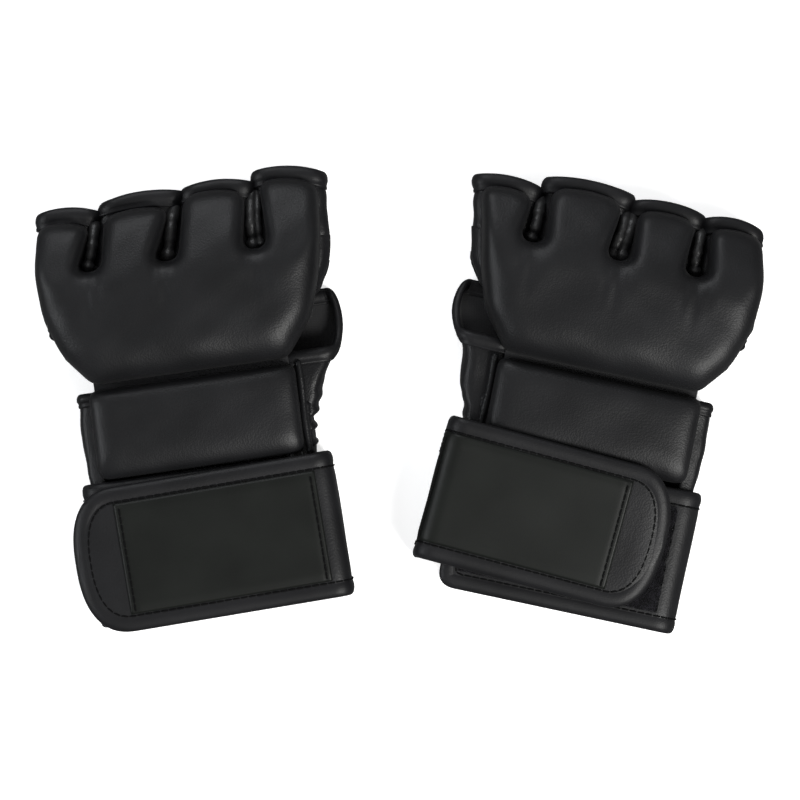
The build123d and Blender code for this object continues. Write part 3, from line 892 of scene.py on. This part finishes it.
def knuckle_height(glove):
    """How high the knuckle pad stands above its seam."""

    def height(x, y):
        lobe = np.clip((y - 50) / 35, 0, 1)
        rise = 21.0 - 1.2 * ((x + 1) / 55) ** 2 - 11.5 * lobe**1.6
        rise = rise - 1.2 * np.clip((30 - y) / 18, 0, 1) ** 2
        for k, low in enumerate(glove.web_low):
            hollows = (
                ((low, 56), (8.0, 6.0), 0.35), ((low - 1.5, 47), (1.6, 8.0), 0.75),
                ((low + 3.4, 49 - k), (1.1, 6.0), 0.5), ((low - 6.5 + k, 52), (1.3, 5.0), 0.45),
            )
            rise = rise + sum(dent(x, y, *hollow) for hollow in hollows)
        return rise + ripple(x, y, 0.7 + glove.side)

    return height


def knuckle_radius(x, y):
    """The pad's edge is rounder outside than beside the slits."""
    return 18.0 - 2.0 * ease(y, 12, 40) - 10.5 * ease(y, 42, 62)


def split_fingers(obj, glove, name):
    """Cuts a piece at the webs into the hand's part and one part for each finger."""
    edges = [-90, *glove.web_low, 90]
    normals, places = read(obj, "normal"), get_points(obj)
    parts = {}
    for part in ("hand", *FINGERS):
        copy = obj.copy()
        copy.data = obj.data.copy()
        bpy.context.scene.collection.objects.link(copy)
        copy.name = copy.data.name = name if part == "hand" else f"{part}_{name}"
        cuts = [((0, SPLIT_Y, 0), (0, 1 if part == "hand" else -1, 0))]
        if part != "hand":
            number = FINGERS.index(part)
            cuts += [((edges[number], 0, 0), (-1, 0, 0)), ((edges[number + 1], 0, 0), (1, 0, 0))]
        for at, way in cuts:
            cut = {"plane_co": Vector(at) * MM, "plane_no": way, "clear_outer": True}
            edit(copy, lambda: bpy.ops.mesh.bisect(**cut))
        kept, own = get_points(copy), read(copy, "normal")
        for i in np.flatnonzero(np.abs(kept[:, 1] - SPLIT_Y) < 0.02):
            own[i] = normals[((places - kept[i]) ** 2).sum(1).argmin()]
        copy.data.shade_smooth()
        copy.data.normals_split_custom_set_from_vertices(own.tolist())
        parts[part] = copy
    bpy.data.objects.remove(obj)
    return parts

# %% [markdown]
# ## Five parts
# Each lobe has to bend with its own finger. The pad could stay in one piece with painted weights, but
# then a bent lobe would drag its neighbours along. It is made whole, so that its surface is one, and
# then cut at the webs. The cut parts keep the whole pad's normals, so no line shows between them. The
# hand's part rides on the hand; the finger parts are only put in place, tied to no body, and do not bend.


# %% The knuckle pads
def knuckle_pad(glove):
    """The pad over the knuckles with its four finger lobes."""
    outline = hand_outline(glove)
    pad = moulded("knuckle_skin", outline, PAD_HIGH, knuckle_height(glove), knuckle_radius, wall=3.0)
    parts = split_fingers(pad, glove, "knuckle_skin")
    on(parts["hand"], glove, "hand", ("knuckle_skin", "knuckle_foam"))
    for finger in FINGERS:
        replaced = (f"{finger}_foam", f"{finger}_sleeve")
        bent(parts[finger], glove, finger, "leather", replaced)
    return parts


for glove in GLOVES:
    made = knuckle_pad(glove)
    print(glove.name, "knuckle pad", {part: len(obj.data.vertices) for part, obj in made.items()})

# %% [markdown]
# ## The pad on the back of the hand
# A second pad lies behind the groove. It is a plain cushion, flatter in the middle, whose lower edge
# slips under the wrist strap.


# %% Back pads
BACK_HIGH = 30.0
BACK_FRONT_Y = 9.8


def back_pad(glove):
    """The cushion behind the groove."""
    rear, front = glove.back_rear, BACK_FRONT_Y
    outline = rounded([(-45.8, rear, 5), (39.6, rear, 5), (40.2, front, 4), (-45.4, front, 4)])

    def height(x, y):
        crown = 11.3 - 1.0 * ((x + 3) / 43) ** 2 - 1.6 * np.clip((-12 - y) / 14, 0, 1) ** 2
        return crown + 0.6 * ripple(x, y, 2.1 + glove.side)

    pad = moulded("back_skin", outline, BACK_HIGH, height, lambda x, y: np.full_like(x, 11.0), wall=2.5)
    return on(pad, glove, "hand", ("back_skin", "back_foam"))


def back_seam(glove):
    """The rolled seam down the thumb side of the back pad."""
    y = np.linspace(9.5, -26.5, 30)
    line = np.column_stack([41.6 + 0.3 * np.sin(y / 6 + glove.side), y, 18.6 + 0.3 * np.sin(y / 9)])
    radius = 1.5 + 0.12 * np.sin(y / 2.7 + glove.side)
    return on(tube("back_seam", line, radius, SOFT_LEATHER, sides=14), glove, "hand")


for glove in GLOVES:
    back_pad(glove)
    back_seam(glove)
print("back pads made")

# %% [markdown]
# ## Finger sleeves
# Under each lobe of the pad is a leather tube for the finger, closed at its sides and open at its
# mouth. Its section is a rounded box. Row by row the section follows the lines between the fingers,
# and the grid primitive is laid over the rows. At its root the sleeve narrows, to slip into the hand.

# %% Finger sleeves
SLEEVE_TOP = 18.8
SLEEVE_LOW = 1.9
SLEEVE_ROOT_Y = 57.0
SLEEVE_WALL = 1.3
STRIP = 4.4  # how far the leather stands out beyond the pad on the index side
HEM = 6.7
MOUTH_RUN = 19.0  # from the webs' line to the line near the mouths
SLEEVE_ROWS, SLEEVE_COLUMNS = 26, 64


def between(low, high, y):
    """The x at y of a line drawn from low, at the webs, to high, near the mouths."""
    return low + (high - low) * (y - WEB_Y) / MOUTH_RUN


def sleeve_sides(glove, number, y):
    """The x of a sleeve's left and right walls at y."""
    low = (-60.0, *glove.web_low, 58.0 + STRIP)
    high = (glove.little_top - 0.6, *glove.web_high, glove.index_top + STRIP - 1.4)
    left, right = (between(low[n], high[n], y) for n in (number, number + 1))
    gap = 0.35
    return left + gap, right - gap


def sleeve_table(glove, number):
    """The points of one finger's sleeve, from its root to its mouth."""
    rows = []
    mouth = glove.mouth[number]
    for share in np.linspace(0, 1, SLEEVE_ROWS):
        y = SLEEVE_ROOT_Y + (mouth - SLEEVE_ROOT_Y) * share
        left, right = sleeve_sides(glove, number, y)
        slip = 1.8 * (1 - ease(y, 57.5, 61.0))
        left, right, low, top = left + slip, right - slip, SLEEVE_LOW + slip, SLEEVE_TOP - slip * 0.5
        corners = [(left, low, 6), (right, low, 6), (right, top, 5.5), (left, top, 5.5)]
        ring = counted(corners, SLEEVE_COLUMNS)
        across_it = (ring[:, 0] - (left + right) / 2) / ((right - left) / 2)
        back = 2.2 * across_it**2 + glove.mouth_lean[number] * across_it
        rows.append(np.column_stack([ring[:, 0], y - share**4 * back, ring[:, 1]]))
    return crumpled(ring_of(np.array(rows), axis=1), 0.28, 9.0, 1.3 * number + glove.side)


for glove in GLOVES:
    for number, finger in enumerate(FINGERS):
        table = sleeve_table(glove, number)
        leather = lined(f"{finger}_sleeve", table, SLEEVE_WALL)
        bent(leather, glove, finger, "leather", (f"{finger}_sleeve",))
        hem = edge_tape(f"{finger}_tape", table, HEM, 0.8)
        on(hem, glove, finger, (f"{finger}_tape",))
print("sleeves and hems", len(GLOVES) * len(FINGERS))

# %% [markdown]
# ## Rolled seams between the fingers
# Where two sleeves meet, their seam allowance is rolled into a soft tube that starts in a puckered
# knot at the web and ends under a hem. Each one leans a little differently, as hand work does.

# %% Rolled seams
ROLL_START_Y = 60.6
ROLL_SHORT = 6.4  # how far short of the nearer mouth a roll ends, under the hems
ROLL_Z = 20.4
ROLLS = {  # web number, then (start, end) in x from the web's line, and the radius
    "left": [(0, (-0.3, -0.2), 2.2), (1, (0.6, -1.2), 2.4), (2, (-1.2, -0.8), 2.1), (2, (2.2, 1.2), 1.5)],
    "right": [(0, (0.2, 0.6), 2.1), (1, (-1.9, -1.6), 2.3), (1, (1.8, 1.0), 2.2), (2, (0.3, -0.6), 2.3)],
}


def rolled_seam(glove, index):
    """One rolled seam, and the place and thickness of its root."""
    web, (start, end), radius = ROLLS[glove.name][index]
    finish_y = min(glove.mouth[web], glove.mouth[web + 1]) - ROLL_SHORT
    along = np.linspace(0, 1, 44)
    y = ROLL_START_Y + (finish_y - ROLL_START_Y) * along
    x = between(glove.web_low[web], glove.web_high[web], y) + start + (end - start) * along
    x = x + 0.35 * np.sin(5 * along + index)
    z = ROLL_Z + 1.6 * np.sin(2.2 * along) - 6.4 * along**3 + 0.3 * np.sin(9 * along + 2 * index)
    wrinkle = 0.06 * np.sin(17 * along + index) + 0.05 * np.sin(31 * along - 2 * index)
    knot = 0.22 * np.exp(-(((along - 0.02) / 0.06) ** 2))
    neck = 0.16 * np.exp(-(((along - 0.13) / 0.05) ** 2))
    swell = radius * (1 + wrinkle - 0.18 * ease(along, 0.8, 1.0)) * (1 + knot - neck)
    line = np.column_stack([x, y, z])
    bent(tube(f"rolled_seam_{index}", line, swell, ROLLED_PAINTED_LIGHT, sides=16), glove, FINGERS[web], "leather")
    return line[0], radius


def pucker(glove, index, centre, radius):
    """Short folds that gather round the root of a rolled seam."""
    folds = []
    steps = np.linspace(0, 1, 7)[:, None]
    for k, angle in enumerate(np.radians([-155, -112, -68, -25])):
        reach = radius * (0.9 + 0.15 * math.sin(3 * k + index))
        out = np.array([math.cos(angle), 0.75 * math.sin(angle), 0.0])
        line = centre + out * reach * (0.35 + 0.95 * steps) + np.array([0, 0, 1.3]) * (1 - 1.6 * steps)
        folds.append(tube(f"fold_{k}", line, np.linspace(0.95, 0.55, 7), ROLLED_PAINTED_LIGHT, sides=8))
    on(joined(folds, f"seam_pucker_{index}", ROLLED_PAINTED_LIGHT), glove, "hand")


for glove in GLOVES:
    for index in range(len(ROLLS[glove.name])):
        root, thickness = rolled_seam(glove, index)
        pucker(glove, index, root, thickness)
print("rolled seams", {name: len(rolls) for name, rolls in ROLLS.items()})

# %% [markdown]
# ## Palm panels
# The palm is open. One panel crosses the roots of the fingers, the other covers the heel of the hand,
# and both turn up at the sides and are sewn in under the pads. Each is a channel: a section laid row
# by row, then thickened inwards, with tape folded round its cut edge.

# %% Palm panels
PANEL_WALL = 1.4
PANEL_POINTS = 110  # across a panel, from one side round to the other
BAR_FRONT_Y = 60.4
HEEL_REAR_Y = -34.0


def edge_of(table, row):
    """An edge of a channel as a line, with the ways in and out of the leather along it."""
    line = table[row]
    inward = unit(table[row + (2 if row == 0 else -2)] - line)
    along = unit(np.gradient(line, axis=0))
    up = unit(np.cross(along, inward))
    outward = line - np.array([0, line[:, 1].mean(), 14.0])
    if (up * outward * np.array([1, 0, 1])).sum() < 0:
        up = -up
    return line - up * PANEL_WALL / 2, inward, up


def bar_table():
    """The finger-root panel's points, from the little side round to the index side."""
    section = counted([
        (-53, 17.4, 0), (-60.4, 17.6, 2.0), (-60, 9, 8), (-58, 0.95, 6),
        (55, 0.95, 6), (59.2, 8, 6), (60, 14.8, 4.5), (56.2, 18.9, 2.5), (50, 18.4, 0),
    ], PANEL_POINTS, closed=False, step=0.3)
    cut_back = ease(section[:, 0], 20, 52) * (1 - ease(section[:, 1], 8, 14))
    rear = 33 + 13.0 * cut_back + 4.0 * ease(section[:, 0], 50, 58) * ease(section[:, 1], 8, 14)
    rows = []
    for share in np.linspace(0, 1, 28):
        y = rear + (BAR_FRONT_Y - rear) * share
        little = np.interp(y, [33, 42, 61], [-57.0, -59.6, -60.4])
        index = np.interp(y, [30, 46, 61], [50.6, 55.5, 58.2]) + STRIP * ease(y, 32, 52)
        x = (little + index) / 2 + section[:, 0] / 60 * (index - little) / 2
        rows.append(np.column_stack([x, y, section[:, 1]]))
    return np.array(rows)


def heel_table():
    """The heel panel's points, from the little side round to the thumb side."""
    section = counted([
        (-43.6, 19.0, 0), (-49.4, 17.8, 2.5), (-50.6, 10, 8), (-48.1, 0.95, 6),
        (41.5, 0.95, 6), (44.5, 9, 8), (43, 17.4, 3), (37.5, 17.7, 0),
    ], PANEL_POINTS, closed=False, step=0.3)
    front = 8.5 - 15.0 * ease(section[:, 0], 8, 40)
    rows = []
    for share in np.linspace(0, 1, 26):
        y = HEEL_REAR_Y + (front - HEEL_REAR_Y) * share
        bulge = 1 + 0.016 * np.sin(math.pi * np.clip((y + 28) / 36, 0, 1))
        rows.append(np.column_stack([section[:, 0] * bulge, y, section[:, 1]]))
    return np.array(rows)


for glove in GLOVES:
    table = crumpled(bar_table(), 0.25, 11.0, 2.0 + glove.side)
    on(lined("palm_bar", table, PANEL_WALL), glove, "hand", ("palm_bar",))
    tape = binding("palm_bar_tape", *edge_of(table, 0), 5.0, 0.8)
    on(tape, glove, "hand", ("palm_tape",))
    table = crumpled(heel_table(), 0.25, 11.0, 4.0 + glove.side)
    heel = lined("palm_heel", table, PANEL_WALL)
    across(heel, glove, ("hand", "wrist"), (0, -22, 9), (0, -33, 9), "leather", ("palm_heel",))
    on(binding("palm_heel_tape", *edge_of(table, -1), 5.2, 0.9), glove, "hand")
print("palm panels", 2 * len(GLOVES))

# %% [markdown]
# ## The thumb
# The thumb has its own sleeve, which grows out of a gathered gusset beside the palm. Its mouth is cut
# on a slant, so from above one looks into it. Each column of the grid therefore ends at its own length.

# %% Thumbs
THUMB_LINE = [  # x, y and half width along the thumb
    (37.5, -30.0, 6.0), (38.2, -18.0, 6.4), (39.4, -9.0, 7.2), (41.6, 0.0, 8.6), (44.8, 9.0, 9.8),
    (48.4, 18.5, 10.4), (51.2, 27.5, 10.2), (52.6, 35.0, 8.8), (52.4, 42.0, 6.0),
]
THUMB_HEM = 6.2
THUMB_WALL = 1.2
ROOT_SLANT = 8.0  # how far the root is cut back below, clear of the strap as the wrist bends


def thumb_table(glove):
    """The points of the thumb's sleeve."""
    line = np.array(THUMB_LINE)
    along = lengths(line[:, :2])
    fine = np.linspace(0, along[-1], 200)
    path = sampled(line, fine, along)
    for _ in range(60):
        path[1:-1] = (path[:-2] + 2 * path[1:-1] + path[2:]) / 4
    way = unit(np.gradient(path[:, :2], axis=0))
    ring = counted([(1, 0, 0.75), (1, 1, 0.62), (-1, 1, 0.62), (-1, 0, 0.75)], 72)
    across_it, height = ring[:, 0], ring[:, 1]
    outer = np.maximum(across_it, 0)
    slant = ease(1 - height, 0.05, 0.95)
    root = ROOT_SLANT * (1 - height)
    finish = (48.5 + glove.thumb_lean + 4.0 * across_it) * (1 - slant) + 70.5 * slant
    rows = []
    for share in np.linspace(0, 1, 60):
        s = root + share * (finish - root)
        x, y, half, wx, wy = (np.interp(s, fine, part) for part in (*path.T, *way.T))
        gather = glove.thumb_pleats * np.exp(-((s - 8) / 16) ** 2) * outer
        pleat = gather * np.sin(2 * math.pi * s / 7.0 + 0.8 * glove.side + 1.5 * height)
        slack = np.sin(s / 4.3 + 2.2 * height + glove.side) * ease(s, 10, 24)
        pleat = pleat + 0.55 * slack * (0.3 + outer)
        full = glove.thumb_fullness * (1 - ease(s, 22, 46)) * ease(s, 0, 12)
        side = across_it * half + pleat + full * (1 + across_it) / 2
        top = 16.9 - 0.9 * ease(s, 34, 48) + 0.5 * np.sin(s / 5.1 + glove.side)
        z = SLEEVE_LOW + height * (top - SLEEVE_LOW)
        rows.append(np.column_stack([x + side * wy, y - side * wx, z]))
    return ring_of(np.array(rows), axis=1)


for glove in GLOVES:
    table = thumb_table(glove)
    thumb = lined("thumb_sleeve", table, THUMB_WALL)
    across(thumb, glove, ("hand", "thumb"), (39, -16, 9), (45, 9, 9), "leather", ("thumb_sleeve",))
    hem = edge_tape("thumb_tape", table, THUMB_HEM, 0.95)
    on(hem, glove, "thumb", ("thumb_tape",))
    print(glove.name, "thumb reaches", table[..., 0].max().round(1), table[..., 1].max().round(1))

# %% [markdown]
# ## Bending flat work
# The wrist band and the strap are sewn flat and then bent round the wrist. They are drawn flat too,
# as (s, t, h): along the strip, across it, and above its middle. `Wrap` then lays them on a bent path.


# %% Wrapping
STRIP_POINTS = 26  # across a padded strip


class Wrap:
    """A bent path in the XZ plane that flat work is laid on."""

    def __init__(self, corners, start=None, finish=None):
        self.line = rounded(corners, closed=False, step=0.5)
        self.way = unit(np.gradient(self.line, axis=0))
        self.s = lengths(self.line)
        if start is not None:
            self.s = self.s - start(self)
        self.finish = finish

    def __call__(self, points):
        points = np.asarray(points, float)
        s, t, h = (points[..., k] for k in range(3))
        x, z, wx, wz = (np.interp(s, self.s, part) for part in (*self.line.T, *self.way.T))
        laid_out = np.stack([x + h * wz, t, z - h * wx], axis=-1)
        return self.finish(laid_out, s) if self.finish else laid_out


def flat_row(s, t, high, low):
    """One closed row of flat work: out along its top, and back along its underside."""
    s, t, high, low = np.broadcast_arrays(s, t, high, low)
    upper, lower = np.column_stack([s, t, high]), np.column_stack([s, t, low])[::-1]
    return ring_of(np.vstack([upper, lower]))


def strip(name, wrap, spans, thickness, edge, thin, seed):
    """A padded strip: spans lists (s, lowest t, highest t), and its long edges are squeezed thin."""
    c = np.sin(np.linspace(-1, 1, STRIP_POINTS) * math.pi / 2)
    rows = []
    for s, low, high in spans:
        middle, half = (low + high) / 2, max((high - low) / 2, 0.05)
        squeeze = thin + (1 - thin) * ease(half * (1 - np.abs(c)), 0, edge)
        soft = 0.16 * np.sin(s / 7.1 + seed) * np.cos((middle + half * c) / 8.3 + seed)
        h = thickness / 2 * squeeze
        rows.append(flat_row(s, middle + half * c, h + soft, -h))
    return laid(name, wrap(capped(rows)), LEATHER)


print("wrap ready")

# %% [markdown]
# ## The wrist band
# A padded leather band goes round the wrist from the palm, over the little finger's side, to its free
# end on the back. Its long edges and its free end are taped, and loop cloth covers its back.

# %% Wrist bands
BAND_Y0, BAND_Y1 = -87.5, -28.2
BAND_THICK = 3.4
BAND_EDGE = 7.4
LOOP_SPAN = (8.0, 90.5)  # from the band's free end
BAND_TOP_Z, BAND_LOW_Z, BAND_FOLD_X = 21.5, 7.2, -52.15
PILE = 0.95  # how far the loops stand out of the band
UP = np.array([0.0, 0.0, 1.0])


def band_wrap(glove):
    """The band's path, from its free end."""
    return Wrap([
        (glove.band_end, BAND_TOP_Z, 0), (BAND_FOLD_X, BAND_TOP_Z, 7.1),
        (BAND_FOLD_X, BAND_LOW_Z, 7.1), (41.0, BAND_LOW_Z, 0),
    ])


def band_edge(length, inset, h=0.0):
    """The line round the band's edges, in flat coordinates."""
    turn = 7 - inset * 0.6
    corners = [
        (length, BAND_Y0 + inset, 0), (inset, BAND_Y0 + inset, turn),
        (inset, BAND_Y1 - inset, turn), (length, BAND_Y1 - inset, 0),
    ]
    line = rounded(corners, closed=False, step=1.2)
    return at_height(line, h)


def inward_of(line):
    """The way in from a flat line that runs clockwise or not round its strip."""
    along = unit(np.gradient(line, axis=0))
    way = np.cross(along, UP)
    middle = line.mean(axis=0)
    return way if ((middle - line) * way).sum() > 0 else -way


def wrist_band(glove):
    """The band with its tape and its stitches."""
    wrap = band_wrap(glove)
    length = wrap.s[-1]
    spans = []
    for s in np.concatenate([[0.9, 1.6, 2.6, 4.2, 6.0], np.linspace(8, length, 90)]):
        short = 6.0 - math.sqrt(max(0.0, 36 - max(0.0, 6.9 - s) ** 2))
        spans.append((s, BAND_Y0 + 0.9 + short, BAND_Y1 - 0.9 - short))
    band = strip("wrist_band", wrap, spans, BAND_THICK, edge=8.0, thin=0.68, seed=glove.side)
    on(band, glove, "wrist", ("wrist_band",))
    line = band_edge(length, 0.7)
    tape = binding("wrist_band_tape", line, inward_of(line), UP, BAND_EDGE, 1.15, wrap=wrap)
    on(tape, glove, "wrist", ("wrist_tape",))
    seam = band_edge(length, BAND_EDGE - 1.0, 1.55)
    on(stitches("wrist_band_stitches", seam, wrap), glove, "wrist")
    return wrap


def loop_field(glove, wrap):
    """The pile on the back of the band, with an uneven edge."""
    low, high = BAND_Y0 + BAND_EDGE + 0.2, BAND_Y1 - BAND_EDGE - 0.2
    t = (low + high) / 2 + (high - low) / 2 * np.linspace(-1, 1, 60)
    rows = []
    for s in np.linspace(*LOOP_SPAN, 110):
        shag = 0.16 * np.sin(3.1 * s + 2.0 * t) * np.cos(2.3 * t - 1.7 * s)
        shag = shag + 0.12 * np.sin(5.3 * t + 4.1 * s)
        top = BAND_THICK / 2 + PILE + shag
        rows.append(flat_row(s + 0.4 * np.sin(1.1 * t), t, top, BAND_THICK / 2 - 0.6))
    pile = laid("loop_field", wrap(capped(rows)), LOOPS)
    return on(pile, glove, "wrist", ("loop_field",))


for glove in GLOVES:
    wrap = wrist_band(glove)
    loop_field(glove, wrap)
    print(glove.name, "band is", round(float(wrap.s[-1]), 1), "mm round")

# %% [markdown]
# ## The strap
# The strap is sewn under the palm side of the band. It folds up round the thumb side and closes over
# the back, so it has the two bends of its fold and then runs flat to a rounded tip. The upper part has
# its own joint in the frame, but these pieces are tied to no body, so they neither peel off with it
# nor bend where the fold turns over.

# %% Straps
STRAP_THICK = 3.4
STRAP_HALF = 30.0
STRAP_LOW_Z, STRAP_TOP_Z = 2.6, 26.8
TIP_DEPTH = 21.0
PATCH_HALF = 22.9
PATCH_SHORT = 19.5  # how far short of the strap's tip the patch ends
PATCH_SEAM = 2.0  # how far in from its ends the patch is stitched


def strap_wrap(glove):
    """The strap's path. s is 0 on the line where it peels, and grows towards the tip."""
    low, top = STRAP_LOW_Z, STRAP_TOP_Z
    corners = [(-30, low, 0), (5.3, low, 4.6), (5.3, top, 6.0), (-130, top, 0)]
    slope = math.tan(math.radians(glove.strap_tilt))
    turn = math.radians(glove.strap_yaw)

    def finish(points, s):
        x, y, z = (points[..., k] for k in range(3))
        rise = np.clip((z - STRAP_LOW_Z) / (STRAP_TOP_Z - STRAP_LOW_Z), 0, 1)
        sag = 1.6 * np.clip((s - (glove.strap_length - 13)) / 13, 0, 2) ** 2
        z = z + slope * (y + STRAP_HALF) * rise - sag
        y = y - glove.strap_shift * (0.55 + 0.45 * y / STRAP_HALF) * (1 - ease(z, 8, 25))
        turned_x = x * math.cos(turn) - y * math.sin(turn)
        turned_y = x * math.sin(turn) + y * math.cos(turn)
        return np.stack([turned_x + glove.hinge_x, turned_y + glove.strap_y, z], axis=-1)

    def zero(wrap):
        top = wrap.line[:, 1] > STRAP_TOP_Z - 0.3
        return float(np.interp(0.0, -wrap.line[top][:, 0], wrap.s[top]))

    return Wrap(corners, zero, finish)


def strap_tip(glove, inset):
    """Where the rounded tip starts, and its depth and half width, this far in from the edge."""
    return glove.strap_length - TIP_DEPTH, TIP_DEPTH - inset, STRAP_HALF - inset


def strap_half(glove, s, inset):
    """Half the strap's width at s, which narrows in a rounded tip."""
    straight, depth, half = strap_tip(glove, inset)
    share = np.clip((s - straight) / depth, 0, 1)
    return half * (1 - share**2.5) ** (1 / 2.5)


def strap_edge(glove, start, inset, h=0.0):
    """The line round the strap's edges from start, in flat coordinates."""
    straight, depth, half = strap_tip(glove, inset)
    angle = np.linspace(0, math.pi, 200)
    c, s = np.cos(angle), np.sin(angle)
    tip = np.column_stack([straight + depth * np.abs(s) ** 0.8, half * np.sign(c) * np.abs(c) ** 0.8])
    line = even(np.vstack([[(start, half)], tip, [(start, -half)]]), 1.1)
    return at_height(line, h)


def strap_parts(glove):
    """The strap with its tape, stitches and patch."""
    wrap = strap_wrap(glove)
    start, straight = float(wrap.s[0]), glove.strap_length - TIP_DEPTH
    stops = np.concatenate([
        np.linspace(start, straight, 120),
        straight + (TIP_DEPTH - 0.8) * np.sin(np.linspace(0.05, 1, 22) * math.pi / 2),
    ])
    spans = [(s, -half, half) for s, half in zip(stops, strap_half(glove, stops, 0.8))]
    seed = 2 * glove.side
    panel = strip("strap_panel", wrap, spans, STRAP_THICK, edge=10.0, thin=0.62, seed=seed)
    line = strap_edge(glove, start, 0.7)
    tape = binding("strap_tape", line, inward_of(line), UP, 7.4, 1.1, wrap=wrap)
    thread = stitches("strap_stitches", strap_edge(glove, start + 1, 6.4, 1.5), wrap)
    pieces = [
        (panel, "leather", ("strap_panel", "strap_fold")),
        (tape, "edge_tape", ("strap_tape",)),
        (thread, "edge_tape", ()),
        (patch(glove, wrap), "patch_rubber", ("strap_patch",)),
        (patch_stitches(glove, wrap), "patch_rubber", ()),
    ]
    x, y = glove.hinge_x, glove.strap_y
    for piece, slot, replaced in pieces:
        across(piece, glove, ("wrist", "strap"), (x + 3, y, 18), (x - 4, y, 31), slot, replaced)
    return wrap


def patch(glove, wrap):
    """The rubber patch, let in between the two taped edges."""
    start, end = glove.patch_start, glove.strap_length - PATCH_SHORT
    t = PATCH_HALF * np.linspace(-1, 1, 40)
    drop = 0.35 * ease(np.abs(t), PATCH_HALF - 3.5, PATCH_HALF)
    rows = []
    for s in np.linspace(start, end, 80):
        edge = 0.3 * (1 - ease(s, start, start + 1.2)) + 0.3 * ease(s, end - 1.2, end)
        seams = (s - start - PATCH_SEAM, s - end + PATCH_SEAM)
        pulled = sum(0.22 * np.exp(-((gap / 0.9) ** 2)) for gap in seams)
        soft = 0.12 * math.sin(s / 9 + glove.side) * np.cos(t / 8)
        top = STRAP_THICK / 2 + 0.85 - drop - edge - pulled + soft
        rows.append(flat_row(s, t, top, STRAP_THICK / 2 - 0.5))
    return laid("strap_patch", wrap(capped(rows)), RUBBER)


def patch_stitches(glove, wrap):
    """A row of stitches across each end of the patch."""
    t = np.linspace(-22.0, 22.0, 60)
    ends = (glove.patch_start + PATCH_SEAM, glove.strap_length - PATCH_SHORT - PATCH_SEAM)
    lines = [at_height(np.column_stack([np.full(60, s), t]), STRAP_THICK / 2 + 0.72) for s in ends]
    rows = [stitches(f"patch_stitches_{k}", line, wrap) for k, line in enumerate(lines)]
    return joined(rows, "patch_stitches", THREAD)


for glove in GLOVES:
    wrap = strap_parts(glove)
    dress(bpy.data.objects[f"{glove.name}_hook_field"], HOOKS)
    print(glove.name, "strap is", round(float(glove.strap_length - wrap.s[0])), "mm long")

# %% [markdown]
# ## The lining
# The lining under the pads, which shows from the open palm, is used as the CAD has it, like the hook
# field under the strap. It is plain cloth with no folds to model, so it only needs its finish.

# %% Linings
for glove in GLOVES:
    dress(bpy.data.objects[f"{glove.name}_liner"], LINING)
print("linings", len(GLOVES))

# %% Finish
bpy.data.objects.remove(STITCH)
